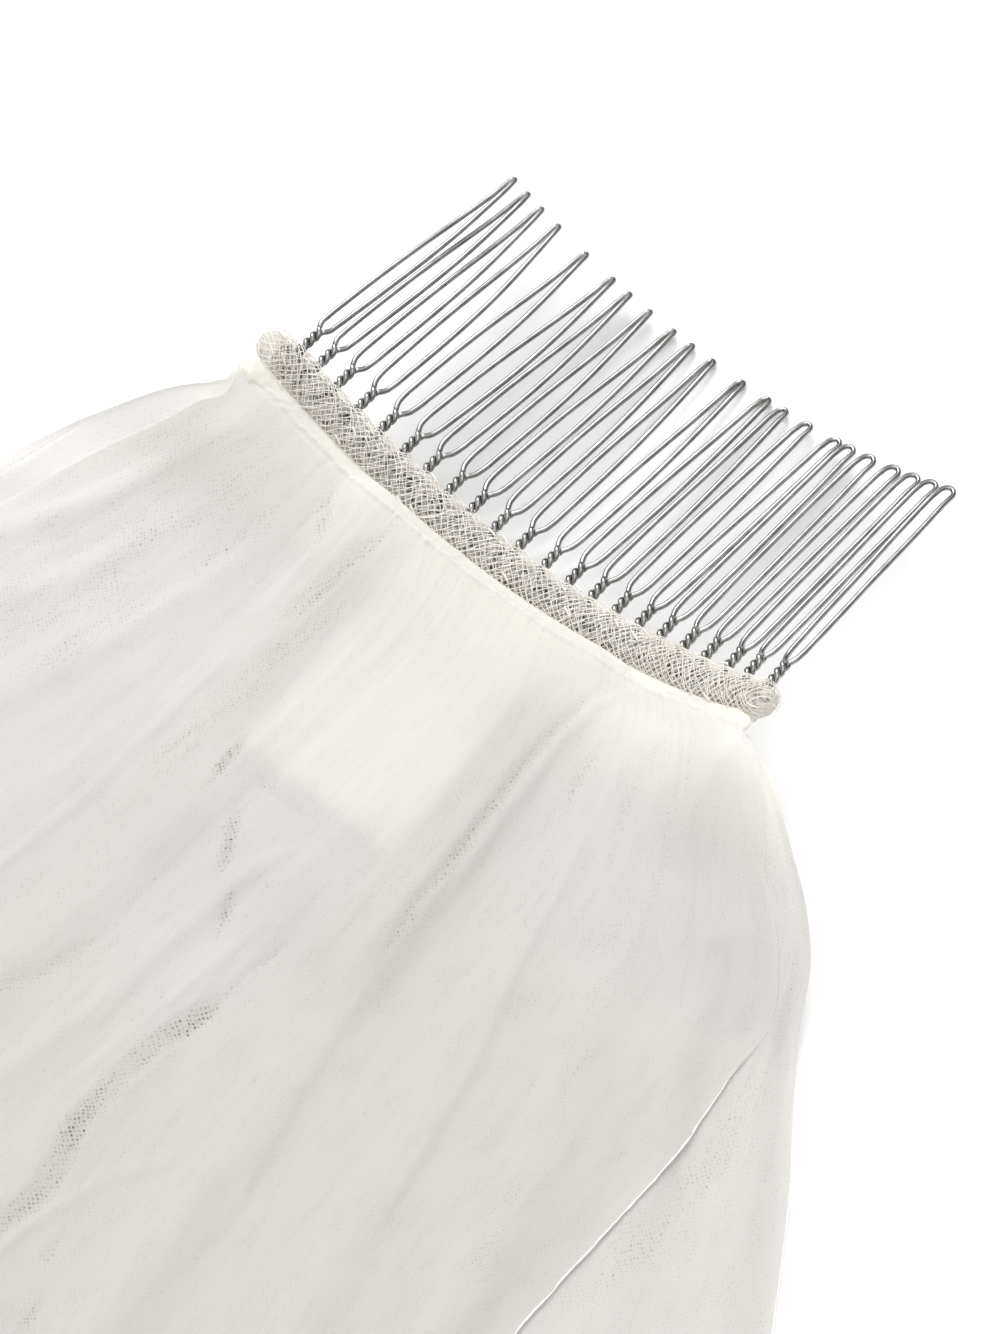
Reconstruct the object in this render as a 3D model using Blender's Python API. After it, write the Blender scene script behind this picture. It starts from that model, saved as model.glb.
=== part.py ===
"""A two-tier bridal veil of fine net on a wire hair comb, laid flat.

X runs along the comb, from its first tooth to its last. Y runs from the hems to the tips of the
teeth, and Z is up. The surface that the veil lies on is Z = 0, under the middle of the whole veil.
While the pieces are made, Y = 0 is where each tooth forks and X = 0 is the comb's middle.
All sizes are in metres and all angles are in radians.
"""

import math

import bmesh
import bpy
from mathutils import Vector

# Wire comb: hairpin teeth with twisted necks on a bar that curves up at both ends
TOOTH_COUNT = 22
TOOTH_PITCH = 0.0038
TOOTH_LENGTH = 0.0349
WIRE_RADIUS = 0.00035
STRAND_OFFSET = 0.00042
NECK_RISE = 0.0006
NECK_STEPS = 4
TOOTH_SLOPE = math.radians(3.64)
TIP_DROOP = 0.0002
TIP_CONVERGE = 0.0033
TIP_RADIUS = 0.00072
TIP_STEPS = 4
ARCH_RADIUS = 0.070
BAR_TILT = math.radians(-0.58)
BAR_HALF = 0.041
BAR_Y = -0.0062
BAR_Z = 0.0025
SPINE_RADIUS = 0.00075
CLEARANCE = 0.0003

# Half the distance between a tooth's two legs, at places along the tooth
LEG_SHAPE = (
    # along the tooth, half spread
    (0.0018, 0.00100),
    (0.0090, 0.00122),
    (0.0220, 0.00108),
)

# How each tooth stands out of line along the bar, in millimetres, and its share of full width
TOOTH_SET = (
    # shift of the neck, lean of the tip, width
    (1.0, 0.4, 0.64), (0.1, 0.1, 0.70), (-0.3, -0.6, 0.88), (-0.3, -1.2, 0.96),
    (-0.2, 0.0, 1.00), (-0.1, 0.9, 1.00), (-0.3, 0.3, 0.96), (-0.2, 0.0, 1.00),
    (-0.3, 0.4, 1.00), (-0.3, -0.2, 0.96), (-0.2, -0.5, 1.00), (0.2, 0.3, 1.00),
    (0.3, 0.7, 0.96), (0.2, -0.1, 1.00), (0.2, 0.2, 1.00), (0.2, 1.3, 0.96),
    (0.0, 0.1, 0.92), (0.0, -0.2, 1.00), (-0.1, 0.4, 0.92), (0.1, -0.1, 0.96),
    (-0.2, -0.4, 0.92), (0.3, -1.5, 1.00),
)
MILLIMETRE = 0.001

# Strip of net wound round the bar, open along the front where the necks come out
WRAP_HALF = 0.044
WRAP_DEPTH = 0.0029
WRAP_HEIGHT = 0.0022
WRAP_BORE = 0.00115
SLIT_HALF = 0.0011
WRAP_RING_STEPS = 8
WRAP_STATIONS = 22
WRAP_TURNS = 11
WRAP_TURN_RELIEF = 0.00012

# Rolled ridge of the gathered net, sewn behind the bar
RIDGE_HALF = 0.0425
RIDGE_Y = -0.01055
RIDGE_LIFT = 0.0005
RIDGE_RADIUS = 0.00092
GATHER_COUNT = 42
GATHER_RELIEF = 0.12

# Two tiers of net: the upper is shorter and narrower, and lies on the lower
SEAM_Y = -0.0118
UPPER_LENGTH = 0.500
UPPER_ROWS = 15
HEM_ROW_STEP = 0.050
LOWER_EXTRA_ROWS = 3
UPPER_COLUMNS = 56
SIDE_COLUMNS = 6
UPPER_SEAM_HALF = 0.038
UPPER_SHOULDER = 0.025
UPPER_SHOULDER_RUN = 0.012
LOWER_SEAM_HALF = 0.040
LOWER_SHOULDER = 0.012
LOWER_SHOULDER_RUN = 0.005
FAN_SLOPE = 0.62
FAN_START = 0.090
FAN_EASE = 0.025
FAN_LEAN = 0.003
FAN_LEAN_RUN = 0.008
HEM_CURVE = 0.14
CORNER_ROUND = 0.10
CORNER_POWER = 6
SIDE_CORNER_ROUND = 0.90
SPREAD_NEAR = 2.5
SPREAD_FAR = 1.1
SPREAD_RUN = 0.120
FALL_RUN = 0.034
CLOTH = 0.0010
CLOTH_AT_SEAM = 0.0014

# Soft folds that run from the comb to the hem: place and width are fractions of half the tier
UPPER_FOLDS = (
    # place across, half width, height by the comb, height at the hem
    (-0.92, 0.080, 0.0007, 0.009),
    (-0.76, 0.075, 0.0011, 0.013),
    (-0.60, 0.070, 0.0006, 0.008),
    (-0.45, 0.075, 0.0016, 0.012),
    (-0.26, 0.085, 0.0006, 0.010),
    (-0.08, 0.080, 0.0008, 0.014),
    (0.11, 0.085, 0.0006, 0.008),
    (0.28, 0.075, 0.0012, 0.012),
    (0.45, 0.080, 0.0008, 0.009),
    (0.62, 0.075, 0.0013, 0.013),
    (0.79, 0.080, 0.0007, 0.010),
    (0.94, 0.060, 0.0009, 0.007),
)
LOWER_FOLDS = (
    # place across, half width, height by the comb, height at the hem
    (-0.93, 0.060, 0.0003, 0.006),
    (-0.80, 0.055, 0.0005, 0.011),
    (-0.65, 0.055, 0.0003, 0.008),
    (-0.49, 0.060, 0.0003, 0.011),
    (-0.31, 0.055, 0.0002, 0.008),
    (-0.14, 0.060, 0.0002, 0.011),
    (0.07, 0.055, 0.0002, 0.009),
    (0.24, 0.060, 0.0002, 0.012),
    (0.43, 0.055, 0.0003, 0.008),
    (0.60, 0.060, 0.0003, 0.011),
    (0.76, 0.055, 0.0004, 0.009),
    (0.92, 0.060, 0.0005, 0.007),
)
FOLD_GROWTH = 1.6

# Bare woven label, sewn into the seam between the tiers
LABEL_HALF_WIDTH = 0.012
LABEL_LEAN = 0.003
LABEL_START = 0.0008
LABEL_LENGTH = 0.034
LABEL_THICKNESS = 0.0010
LABEL_GAP = 0.0005
LABEL_COLUMNS = 6
LABEL_ROWS = 8

COLOURS = {
    # red, green, blue, roughness, metallic
    "steel_wire": (0.42, 0.42, 0.41, 0.22, 1.0),
    "net_wrap": (0.80, 0.79, 0.76, 0.80, 0.0),
    "rolled_net": (0.86, 0.84, 0.79, 0.75, 0.0),
    "veil_net": (0.78, 0.775, 0.75, 0.85, 0.0),
    "label_satin": (0.90, 0.89, 0.87, 0.55, 0.0),
}


def clear_scene():
    """Remove whatever the scene already holds."""
    for thing in list(bpy.data.objects):
        bpy.data.objects.remove(thing, do_unlink=True)


def make_material(name):
    """Make a plain Principled material from the colour table."""
    red, green, blue, roughness, metallic = COLOURS[name]
    material = bpy.data.materials.new(name)
    material.use_nodes = True
    shader = material.node_tree.nodes["Principled BSDF"]
    shader.inputs["Base Color"].default_value = (red, green, blue, 1.0)
    shader.inputs["Roughness"].default_value = roughness
    shader.inputs["Metallic"].default_value = metallic
    material.diffuse_color = (red, green, blue, 1.0)
    return material


def add_mesh(collection, name, mesh_data, material):
    """Put a finished bmesh into the collection as one smooth-shaded object."""
    mesh = bpy.data.meshes.new(name)
    mesh_data.to_mesh(mesh)
    mesh_data.free()
    mesh.shade_smooth()
    thing = bpy.data.objects.new(name, mesh)
    thing.data.materials.append(material)
    collection.objects.link(thing)
    return thing


def add_wire(collection, name, points, radius, sides_level, material, radii=None):
    """Make a round wire with closed ends through a row of points."""
    curve = bpy.data.curves.new(name, "CURVE")
    curve.dimensions = "3D"
    curve.bevel_depth = radius
    curve.bevel_resolution = sides_level
    curve.use_fill_caps = True
    spline = curve.splines.new("POLY")
    spline.points.add(len(points) - 1)
    for number, place in enumerate(points):
        spline.points[number].co = (place.x, place.y, place.z, 1.0)
        spline.points[number].radius = radii[number] if radii else 1.0
    spline.use_smooth = True
    thing = bpy.data.objects.new(name, curve)
    curve.materials.append(material)
    collection.objects.link(thing)
    return thing


def blend(value, low, high):
    """Rise smoothly from 0 at low to 1 at high."""
    share = min(1.0, max(0.0, (value - low) / (high - low)))
    return share * share * (3.0 - 2.0 * share)


# Comb

def bar_frame(along):
    """Give the bar's centre, its direction and its upward normal at a distance along it."""
    angle = along / ARCH_RADIUS + BAR_TILT
    across = ARCH_RADIUS * (math.sin(angle) - math.sin(BAR_TILT))
    height = BAR_Z + ARCH_RADIUS * (math.cos(BAR_TILT) - math.cos(angle))
    side = Vector((math.cos(angle), 0.0, math.sin(angle)))
    up = Vector((-math.sin(angle), 0.0, math.cos(angle)))
    return Vector((across, BAR_Y, height)), side, up


def bar_rise(across):
    """Give how far the bar has risen above its middle at a distance across the comb."""
    angle = math.asin(across / ARCH_RADIUS + math.sin(BAR_TILT))
    return ARCH_RADIUS * (math.cos(BAR_TILT) - math.cos(angle))


def tooth_outline(width):
    """List one tooth's wire as (aside, forward, lift) from the fork's middle, neck to neck."""
    start = SPINE_RADIUS + CLEARANCE + BAR_Y
    neck = []
    for step in range(NECK_STEPS + 1):
        share = step / NECK_STEPS
        turn = math.pi * share
        forward = start * (1.0 - share)
        lift = NECK_RISE * (forward - BAR_Y) / -BAR_Y
        neck.append((math.cos(turn), math.sin(turn), forward, lift))
    out = [(STRAND_OFFSET * c, f, lift + STRAND_OFFSET * s) for c, s, f, lift in neck]
    back = [(-STRAND_OFFSET * c, f, lift - STRAND_OFFSET * s) for c, s, f, lift in reversed(neck)]
    left = [(-spread * width, forward, leg_lift(forward)) for forward, spread in LEG_SHAPE]
    right = [(-aside, forward, lift) for aside, forward, lift in reversed(left)]
    tip = []
    for step in range(TIP_STEPS + 1):
        turn = math.pi * (1.0 - step / TIP_STEPS)
        forward = TOOTH_LENGTH - TIP_RADIUS + TIP_RADIUS * math.sin(turn)
        tip.append((TIP_RADIUS * math.cos(turn), forward, leg_lift(forward)))
    return out + left + tip + right + back


def leg_lift(forward):
    """Give a leg's height over the bar at a distance in front of the fork."""
    share = forward / TOOTH_LENGTH
    return NECK_RISE - forward * math.sin(TOOTH_SLOPE) - TIP_DROOP * share * share


def tooth_points(number):
    """Place one tooth's wire on the bar, with its own shift and lean."""
    shift, lean, width = TOOTH_SET[number]
    shift *= MILLIMETRE
    lean *= MILLIMETRE
    along = (number - (TOOTH_COUNT - 1) / 2.0) * TOOTH_PITCH + shift
    centre, side, up = bar_frame(along)
    fork = Vector((centre.x, 0.0, centre.z))
    tip_shift = lean - TIP_CONVERGE * along / BAR_HALF
    points = []
    for aside, forward, lift in tooth_outline(width):
        reach = max(0.0, forward) / TOOTH_LENGTH
        shifted = aside + tip_shift * reach
        points.append(fork + side * shifted + up * lift + Vector((0.0, forward, 0.0)))
    return points


def make_comb(collection, material):
    """Make the bar's spine and every tooth."""
    steps = 20
    spine = [bar_frame(BAR_HALF * (2.0 * step / steps - 1.0))[0] for step in range(steps + 1)]
    add_wire(collection, "comb_spine", spine, SPINE_RADIUS, 2, material)
    for number in range(TOOTH_COUNT):
        name = "tooth_%02d" % (number + 1)
        add_wire(collection, name, tooth_points(number), WIRE_RADIUS, 1, material)


# Wound strip and ridge

def wrap_ring(station):
    """Give the wound strip's open section at one station along the bar."""
    along = WRAP_HALF * (2.0 * station / WRAP_STATIONS - 1.0)
    centre, _, up = bar_frame(along)
    relief = WRAP_TURN_RELIEF * math.cos(math.tau * WRAP_TURNS * station / WRAP_STATIONS)
    slit_angle = math.asin(SLIT_HALF / WRAP_HEIGHT)
    outer = []
    inner = []
    for step in range(WRAP_RING_STEPS + 1):
        share = step / WRAP_RING_STEPS
        turn = slit_angle + (math.tau - 2.0 * slit_angle) * share
        forward = (WRAP_DEPTH + relief) * math.cos(turn)
        outer.append(centre + up * (WRAP_HEIGHT * math.sin(turn)) + Vector((0.0, forward, 0.0)))
        turn = math.pi * (0.5 + share)
        forward = WRAP_BORE * math.cos(turn)
        inner.append(centre + up * (SLIT_HALF * math.sin(turn)) + Vector((0.0, forward, 0.0)))
    return outer + inner[::-1]


def make_wrap(collection, material):
    """Loft the wound strip, whose section swells a little at every turn."""
    mesh_data = bmesh.new()
    rings = [[mesh_data.verts.new(place) for place in wrap_ring(station)]
             for station in range(WRAP_STATIONS + 1)]
    count = len(rings[0])
    for ring, following in zip(rings, rings[1:]):
        for corner in range(count):
            after = (corner + 1) % count
            mesh_data.faces.new((ring[corner], ring[after], following[after], following[corner]))
    for ring in (rings[0], rings[-1]):
        for corner in range(WRAP_RING_STEPS):
            mesh_data.faces.new((ring[corner], ring[corner + 1],
                                 ring[count - 2 - corner], ring[count - 1 - corner]))
    bmesh.ops.recalc_face_normals(mesh_data, faces=mesh_data.faces)
    add_mesh(collection, "net_wrap", mesh_data, material)


def make_ridge(collection, material):
    """Make the rolled ridge as a cord that swells at each gather."""
    points = []
    radii = []
    steps = 2 * GATHER_COUNT
    for step in range(steps + 1):
        centre, _, up = bar_frame(RIDGE_HALF * (2.0 * step / steps - 1.0))
        points.append(Vector((centre.x, RIDGE_Y, centre.z)) + up * RIDGE_LIFT)
        radii.append(1.0 - GATHER_RELIEF * (step % 2))
    add_wire(collection, "seam_ridge", points, RIDGE_RADIUS, 1, material, radii)


# Tiers

def upper_half(run):
    """Give half the upper tier's width at a distance from the seam."""
    shoulder = UPPER_SHOULDER * (1.0 - math.exp(-run / UPPER_SHOULDER_RUN))
    ease = math.exp((run - FAN_START) / FAN_EASE)
    return UPPER_SEAM_HALF + shoulder + FAN_SLOPE * FAN_EASE * math.log1p(ease)


def lower_half(run):
    """Give half the lower tier's width at a distance from the seam."""
    shoulder = LOWER_SHOULDER * (1.0 - math.exp(-run / LOWER_SHOULDER_RUN))
    return LOWER_SEAM_HALF + shoulder + FAN_SLOPE * run


def row_run(row):
    """Give how far a row of the cloth lies from the seam."""
    if row <= UPPER_ROWS:
        return UPPER_LENGTH * (row / UPPER_ROWS) ** 2
    return UPPER_LENGTH + HEM_ROW_STEP * (row - UPPER_ROWS)


def across_at(column, run):
    """Give the distance across at a column, counted from the middle."""
    inner = UPPER_COLUMNS // 2
    sign = math.copysign(1.0, column)
    share = min(1.0, abs(column) / inner)
    narrow = UPPER_SEAM_HALF * share
    spread = SPREAD_FAR + (SPREAD_NEAR - SPREAD_FAR) * math.exp(-run / SPREAD_RUN)
    half = upper_half(run)
    across = narrow + (half - UPPER_SEAM_HALF) * share ** spread
    beyond = max(0, abs(column) - inner) / SIDE_COLUMNS
    across += (lower_half(run) - half) * beyond
    lean = FAN_LEAN * (1.0 - math.exp(-run / FAN_LEAN_RUN))
    return sign * across + lean


def cloth_place(column, row):
    """Give the place on the surface, X and Y, of one crossing of the two tiers' shared net."""
    run = row_run(row)
    inner = UPPER_COLUMNS // 2
    across = across_at(column, run)
    share = min(1.0, abs(column) / inner)
    length = min(run, UPPER_LENGTH) * (1.0 - CORNER_ROUND * share ** CORNER_POWER)
    outward = (abs(column) / (inner + SIDE_COLUMNS)) ** CORNER_POWER
    length += max(0.0, run - UPPER_LENGTH) * (1.0 - SIDE_CORNER_ROUND * outward)
    swing = across / lower_half(run)
    return across, SEAM_Y - length * (1.0 - HEM_CURVE * swing * swing)


def fold_height(folds, place, run, length):
    """Add up the folds that pass through one place across, a distance from the seam."""
    grown = min(1.0, run / length) ** FOLD_GROWTH
    height = 0.0
    for middle, width, near, far in folds:
        away = abs(place - middle) / width
        if away < 1.0:
            height += (near + (far - near) * grown) * math.cos(0.5 * math.pi * away) ** 2
    return height * blend(run, 0.0, FALL_RUN)


def cloth_thickness(run):
    """Give the net's built thickness, which is greater where it is gathered."""
    return CLOTH + (CLOTH_AT_SEAM - CLOTH) * (1.0 - blend(run, 0.0, FALL_RUN))


def lower_underside(column, row):
    """Give the height of the lower tier's underside, flat wherever no fold lifts it."""
    run = row_run(row)
    rise = max(0.0, bar_rise(across_at(column, 0.0)))
    fall = 1.0 - blend(run, 0.0, FALL_RUN)
    swing = (across_at(column, run) - across_at(0, run)) / lower_half(run)
    length = UPPER_LENGTH + HEM_ROW_STEP * LOWER_EXTRA_ROWS
    return rise * fall + fold_height(LOWER_FOLDS, swing, run, length)


def label_room(column, row):
    """Give how far the upper tier is lifted over the label."""
    across, place_y = cloth_place(column, row)
    run = SEAM_Y - place_y
    aside = abs(across - LABEL_LEAN * run / LABEL_LENGTH)
    edge = 0.004
    beside = 1.0 - blend(aside, LABEL_HALF_WIDTH + edge, LABEL_HALF_WIDTH + 3.0 * edge)
    below = 1.0 - blend(run, LABEL_LENGTH + 2.0 * edge, LABEL_LENGTH + 6.0 * edge)
    return (LABEL_THICKNESS + 2.0 * LABEL_GAP - CLEARANCE) * beside * below


def upper_underside(column, row):
    """Give the height of the upper tier's underside, worked out from the lower tier's face."""
    run = row_run(row)
    place = column / (UPPER_COLUMNS // 2)
    below = lower_underside(column, row) + cloth_thickness(run)
    own = fold_height(UPPER_FOLDS, place, run, UPPER_LENGTH)
    return below + CLEARANCE + label_room(column, row) + own


def make_tier(collection, name, columns, rows, underside, material):
    """Shape a flat grid into one tier and give it its thickness."""
    mesh_data = bmesh.new()
    bmesh.ops.create_grid(mesh_data, x_segments=columns, y_segments=rows, size=1.0)
    bmesh.ops.triangulate(mesh_data, faces=mesh_data.faces, quad_method="FIXED")
    raised = bmesh.ops.extrude_face_region(mesh_data, geom=mesh_data.faces[:])
    for item in raised["geom"]:
        if isinstance(item, bmesh.types.BMVert):
            item.co.z = 1.0
    for corner in mesh_data.verts:
        column = round(corner.co.x * columns / 2)
        row = round((1.0 - corner.co.y) * rows / 2)
        thickness = cloth_thickness(row_run(row)) if corner.co.z > 0.5 else 0.0
        across, place_y = cloth_place(column, row)
        corner.co = (across, place_y, underside(column, row) + thickness)
    bmesh.ops.recalc_face_normals(mesh_data, faces=mesh_data.faces)
    add_mesh(collection, name, mesh_data, material)


def lower_face(across, run):
    """Give the lower tier's upper face at a free place near the comb's middle."""
    rise = max(0.0, bar_rise(across)) * (1.0 - blend(run, 0.0, FALL_RUN))
    return rise + cloth_thickness(run)


def make_label(collection, material):
    """Lay the label on the lower tier, just clear of both tiers."""
    mesh_data = bmesh.new()
    bmesh.ops.create_grid(mesh_data, x_segments=LABEL_COLUMNS, y_segments=LABEL_ROWS, size=1.0)
    raised = bmesh.ops.extrude_face_region(mesh_data, geom=mesh_data.faces[:])
    for item in raised["geom"]:
        if isinstance(item, bmesh.types.BMVert):
            item.co.z = 1.0
    for corner in mesh_data.verts:
        run = LABEL_START + LABEL_LENGTH * (1.0 - corner.co.y) / 2.0
        across = LABEL_HALF_WIDTH * corner.co.x + LABEL_LEAN * run / LABEL_LENGTH
        height = lower_face(across, run) + LABEL_GAP
        if corner.co.z > 0.5:
            height += LABEL_THICKNESS
        corner.co = (across, SEAM_Y - run, height)
    bmesh.ops.recalc_face_normals(mesh_data, faces=mesh_data.faces)
    add_mesh(collection, "label", mesh_data, material)


def stand_on_middle(collection):
    """Move the whole veil so that the middle of its base lies at the origin."""
    bpy.context.view_layer.update()
    depsgraph = bpy.context.evaluated_depsgraph_get()
    corners = []
    for thing in collection.objects:
        seen = thing.evaluated_get(depsgraph)
        shape = seen.to_mesh()
        corners += [seen.matrix_world @ corner.co for corner in shape.vertices]
        seen.to_mesh_clear()
    low = Vector([min(corner[axis] for corner in corners) for axis in range(3)])
    high = Vector([max(corner[axis] for corner in corners) for axis in range(3)])
    move = Vector(((low.x + high.x) / -2.0, (low.y + high.y) / -2.0, -low.z))
    for thing in collection.objects:
        thing.location += move


def main():
    """Build the veil."""
    clear_scene()
    collection = bpy.data.collections.new("bridal_veil")
    bpy.context.scene.collection.children.link(collection)
    materials = {name: make_material(name) for name in COLOURS}
    make_comb(collection, materials["steel_wire"])
    make_wrap(collection, materials["net_wrap"])
    make_ridge(collection, materials["rolled_net"])
    lower_columns = UPPER_COLUMNS + 2 * SIDE_COLUMNS
    lower_rows = UPPER_ROWS + LOWER_EXTRA_ROWS
    net = materials["veil_net"]
    make_tier(collection, "lower_tier", lower_columns, lower_rows, lower_underside, net)
    make_tier(collection, "upper_tier", UPPER_COLUMNS, UPPER_ROWS, upper_underside, net)
    make_label(collection, materials["label_satin"])
    stand_on_middle(collection)


main()
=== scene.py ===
"""The look of a two-tier bridal veil of fine net on a curved wire comb, laid out flat.

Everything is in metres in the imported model's frame: X runs along the comb from its first tooth to
its last, Y from the hems to the tips of the teeth, and Z is up from the surface that the veil lies
on. Sizes near the comb are given in millimetres from the middle of the comb's forks, which is the
origin of the comb's own axes, and CombAxes turns them into the frame.
"""

import logging
import math
from dataclasses import dataclass, field
from enum import Enum

import bmesh
import bpy
import numpy as np
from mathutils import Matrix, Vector


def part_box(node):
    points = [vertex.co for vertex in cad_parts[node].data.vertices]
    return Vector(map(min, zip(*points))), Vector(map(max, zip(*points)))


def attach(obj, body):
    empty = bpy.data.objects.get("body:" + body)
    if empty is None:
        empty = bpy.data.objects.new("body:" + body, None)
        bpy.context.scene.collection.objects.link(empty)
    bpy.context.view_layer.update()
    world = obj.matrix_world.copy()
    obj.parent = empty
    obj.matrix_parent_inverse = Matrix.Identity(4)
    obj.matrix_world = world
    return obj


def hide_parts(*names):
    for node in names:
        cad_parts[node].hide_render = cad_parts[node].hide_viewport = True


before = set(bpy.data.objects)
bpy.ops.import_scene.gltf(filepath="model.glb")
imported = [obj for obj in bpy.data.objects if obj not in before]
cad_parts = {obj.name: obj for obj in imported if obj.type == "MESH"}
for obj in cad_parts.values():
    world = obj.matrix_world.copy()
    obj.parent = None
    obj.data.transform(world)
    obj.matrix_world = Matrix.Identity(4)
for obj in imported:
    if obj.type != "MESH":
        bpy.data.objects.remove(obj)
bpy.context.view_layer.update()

LOG = logging.getLogger("veil")
MM = 0.001
TAU = 2.0 * math.pi
BODY = "root"

Array = np.ndarray


# Numbers


def ease(value: Array, low: float, high: float) -> Array:
    """Rise smoothly from 0 to 1.

    Args:
        value: The numbers to ease.
        low: Where the rise starts.
        high: Where it ends.

    Returns:
        An array of the same shape, from 0 to 1.
    """
    share = np.clip((value - low) / (high - low), 0.0, 1.0)
    return share * share * (3.0 - 2.0 * share)


def smooth_through(places: Array, values: Array, wanted: Array) -> Array:
    """Read a smooth curve through a few points, with no overshoot beyond their slopes.

    Args:
        places: Rising places of the points.
        values: The value at each place.
        wanted: Where to read the curve.

    Returns:
        The curve's values at the wanted places.
    """
    places = np.asarray(places, float)
    values = np.asarray(values, float)
    slopes = np.gradient(values, places)
    at = np.clip(np.searchsorted(places, wanted) - 1, 0, len(places) - 2)
    step = places[at + 1] - places[at]
    share = np.clip((wanted - places[at]) / step, 0.0, 1.0)
    square, cube = share**2, share**3
    return (
        (2 * cube - 3 * square + 1) * values[at]
        + (cube - 2 * square + share) * step * slopes[at]
        + (3 * square - 2 * cube) * values[at + 1]
        + (cube - square) * step * slopes[at + 1]
    )


@dataclass(frozen=True)
class Stretch:
    """A stretch with soft ends.

    Args:
        start: Where it begins to rise.
        full: Where it is full.
        fade: Where it begins to fade.
        end: Where it is gone.
    """

    start: float
    full: float
    fade: float
    end: float

    def at(self, value: Array) -> Array:
        """Read it at each value, from 0 to 1."""
        return ease(value, self.start, self.full) * (1.0 - ease(value, self.fade, self.end))


@dataclass(frozen=True)
class Waver:
    """A smooth, seeded unevenness made of a few crossed waves."""

    seed: int
    coarse: float
    octaves: int = 4

    def at(self, first: Array, second: Array) -> Array:
        """Read the unevenness at places on a surface.

        Args:
            first: One coordinate of each place.
            second: The other coordinate.

        Returns:
            Values of about -1 to 1.
        """
        draw = np.random.default_rng(self.seed)
        total = np.zeros(np.broadcast(first, second).shape)
        for octave in range(self.octaves):
            length = self.coarse / 1.7**octave
            for _ in range(3):
                turn, phase = draw.uniform(0.0, TAU, 2)
                wave = np.cos(turn) * first + np.sin(turn) * second
                total += np.sin(TAU * wave / length + phase) / 1.5**octave
        return total / 4.0


# Meshes


def add_piece(name: str, mesh: bpy.types.Mesh) -> bpy.types.Object:
    """Put a mesh into the scene as one smooth-shaded object.

    Args:
        name: The piece's name.
        mesh: Its mesh.

    Returns:
        The new object.
    """
    mesh.shade_smooth()
    piece = bpy.data.objects.new(name, mesh)
    bpy.context.scene.collection.objects.link(piece)
    return piece


def grid_mesh(name: str, points: Array) -> bpy.types.Mesh:
    """Make an open sheet of quads, with its rows and columns as the UV map.

    Args:
        name: The mesh's name.
        points: Points in rows and columns, shaped (rows, columns, 3).

    Returns:
        The mesh.
    """
    rows, columns = points.shape[:2]
    number = np.arange(rows * columns).reshape(rows, columns)
    corners = (number[:-1, :-1], number[1:, :-1], number[1:, 1:], number[:-1, 1:])
    faces = np.stack([corner.ravel() for corner in corners], axis=1)
    mesh = bpy.data.meshes.new(name)
    mesh.from_pydata(points.reshape(-1, 3), [], faces.tolist())
    along, across = np.meshgrid(np.linspace(0, 1, rows), np.linspace(0, 1, columns), indexing="ij")
    flat = np.stack([across.ravel(), along.ravel()], axis=1)[faces.ravel()]
    mesh.uv_layers.new(name="UVMap").data.foreach_set("uv", flat.ravel().astype(np.float32))
    return mesh


def set_number(mesh: bpy.types.Mesh, name: str, values: Array) -> None:
    """Store one number for each point of a mesh.

    Args:
        mesh: The mesh.
        name: The attribute's name.
        values: One value for each point.
    """
    mesh.attributes.new(name, "FLOAT", "POINT").data.foreach_set("value", values.astype(np.float32))


def set_place(mesh: bpy.types.Mesh, name: str, values: Array) -> None:
    """Store one vector for each point of a mesh.

    Args:
        mesh: The mesh.
        name: The attribute's name.
        values: One row of three numbers for each point.
    """
    store = mesh.attributes.new(name, "FLOAT_VECTOR", "POINT")
    store.data.foreach_set("vector", values.astype(np.float32).ravel())


def joined(name: str, meshes: list) -> bpy.types.Mesh:
    """Join meshes into one.

    Args:
        name: The new mesh's name.
        meshes: The meshes, which are used up.

    Returns:
        The mesh.
    """
    whole = bmesh.new()
    for mesh in meshes:
        whole.from_mesh(mesh)
        bpy.data.meshes.remove(mesh)
    result = bpy.data.meshes.new(name)
    whole.to_mesh(result)
    whole.free()
    return result


def swept(name: str, paths: Array, radius: Array, sides: int) -> bpy.types.Mesh:
    """Sweep round sections along many paths of equal length, with closed ends.

    Args:
        name: The mesh's name.
        paths: Points shaped (paths, points, 3).
        radius: One radius, or one for each point.
        sides: Corners of each section.

    Returns:
        One mesh that holds every tube.
    """
    count, length = paths.shape[:2]
    radius = np.broadcast_to(radius, (count, length))
    tangent = np.gradient(paths, axis=1)
    tangent /= np.linalg.norm(tangent, axis=2, keepdims=True) + 1e-12
    helper = np.where(np.abs(tangent[:, :1, 2:]) < 0.9, [[[0.0, 0.0, 1.0]]], [[[1.0, 0.0, 0.0]]])
    normal = np.empty_like(paths)
    normal[:, 0] = np.cross(tangent[:, 0], helper[:, 0])
    for step in range(length):
        last = normal[:, max(step - 1, 0)]
        along = tangent[:, step]
        bent = last - along * np.sum(last * along, axis=1, keepdims=True)
        normal[:, step] = bent / (np.linalg.norm(bent, axis=1, keepdims=True) + 1e-12)
    binormal = np.cross(tangent, normal)
    turn = np.arange(sides) * TAU / sides
    ring = normal[:, :, None] * np.cos(turn)[:, None] + binormal[:, :, None] * np.sin(turn)[:, None]
    points = paths[:, :, None] + ring * radius[:, :, None, None]
    number = np.arange(count * length * sides).reshape(count, length, sides)
    after = np.roll(number, -1, axis=2)
    quads = np.stack([number[:, :-1], after[:, :-1], after[:, 1:], number[:, 1:]], axis=-1)
    caps = np.concatenate([number[:, 0, ::-1], number[:, -1]])
    mesh = bpy.data.meshes.new(name)
    mesh.from_pydata(points.reshape(-1, 3), [], quads.reshape(-1, 4).tolist() + caps.tolist())
    return mesh


# Shader nodes


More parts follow.
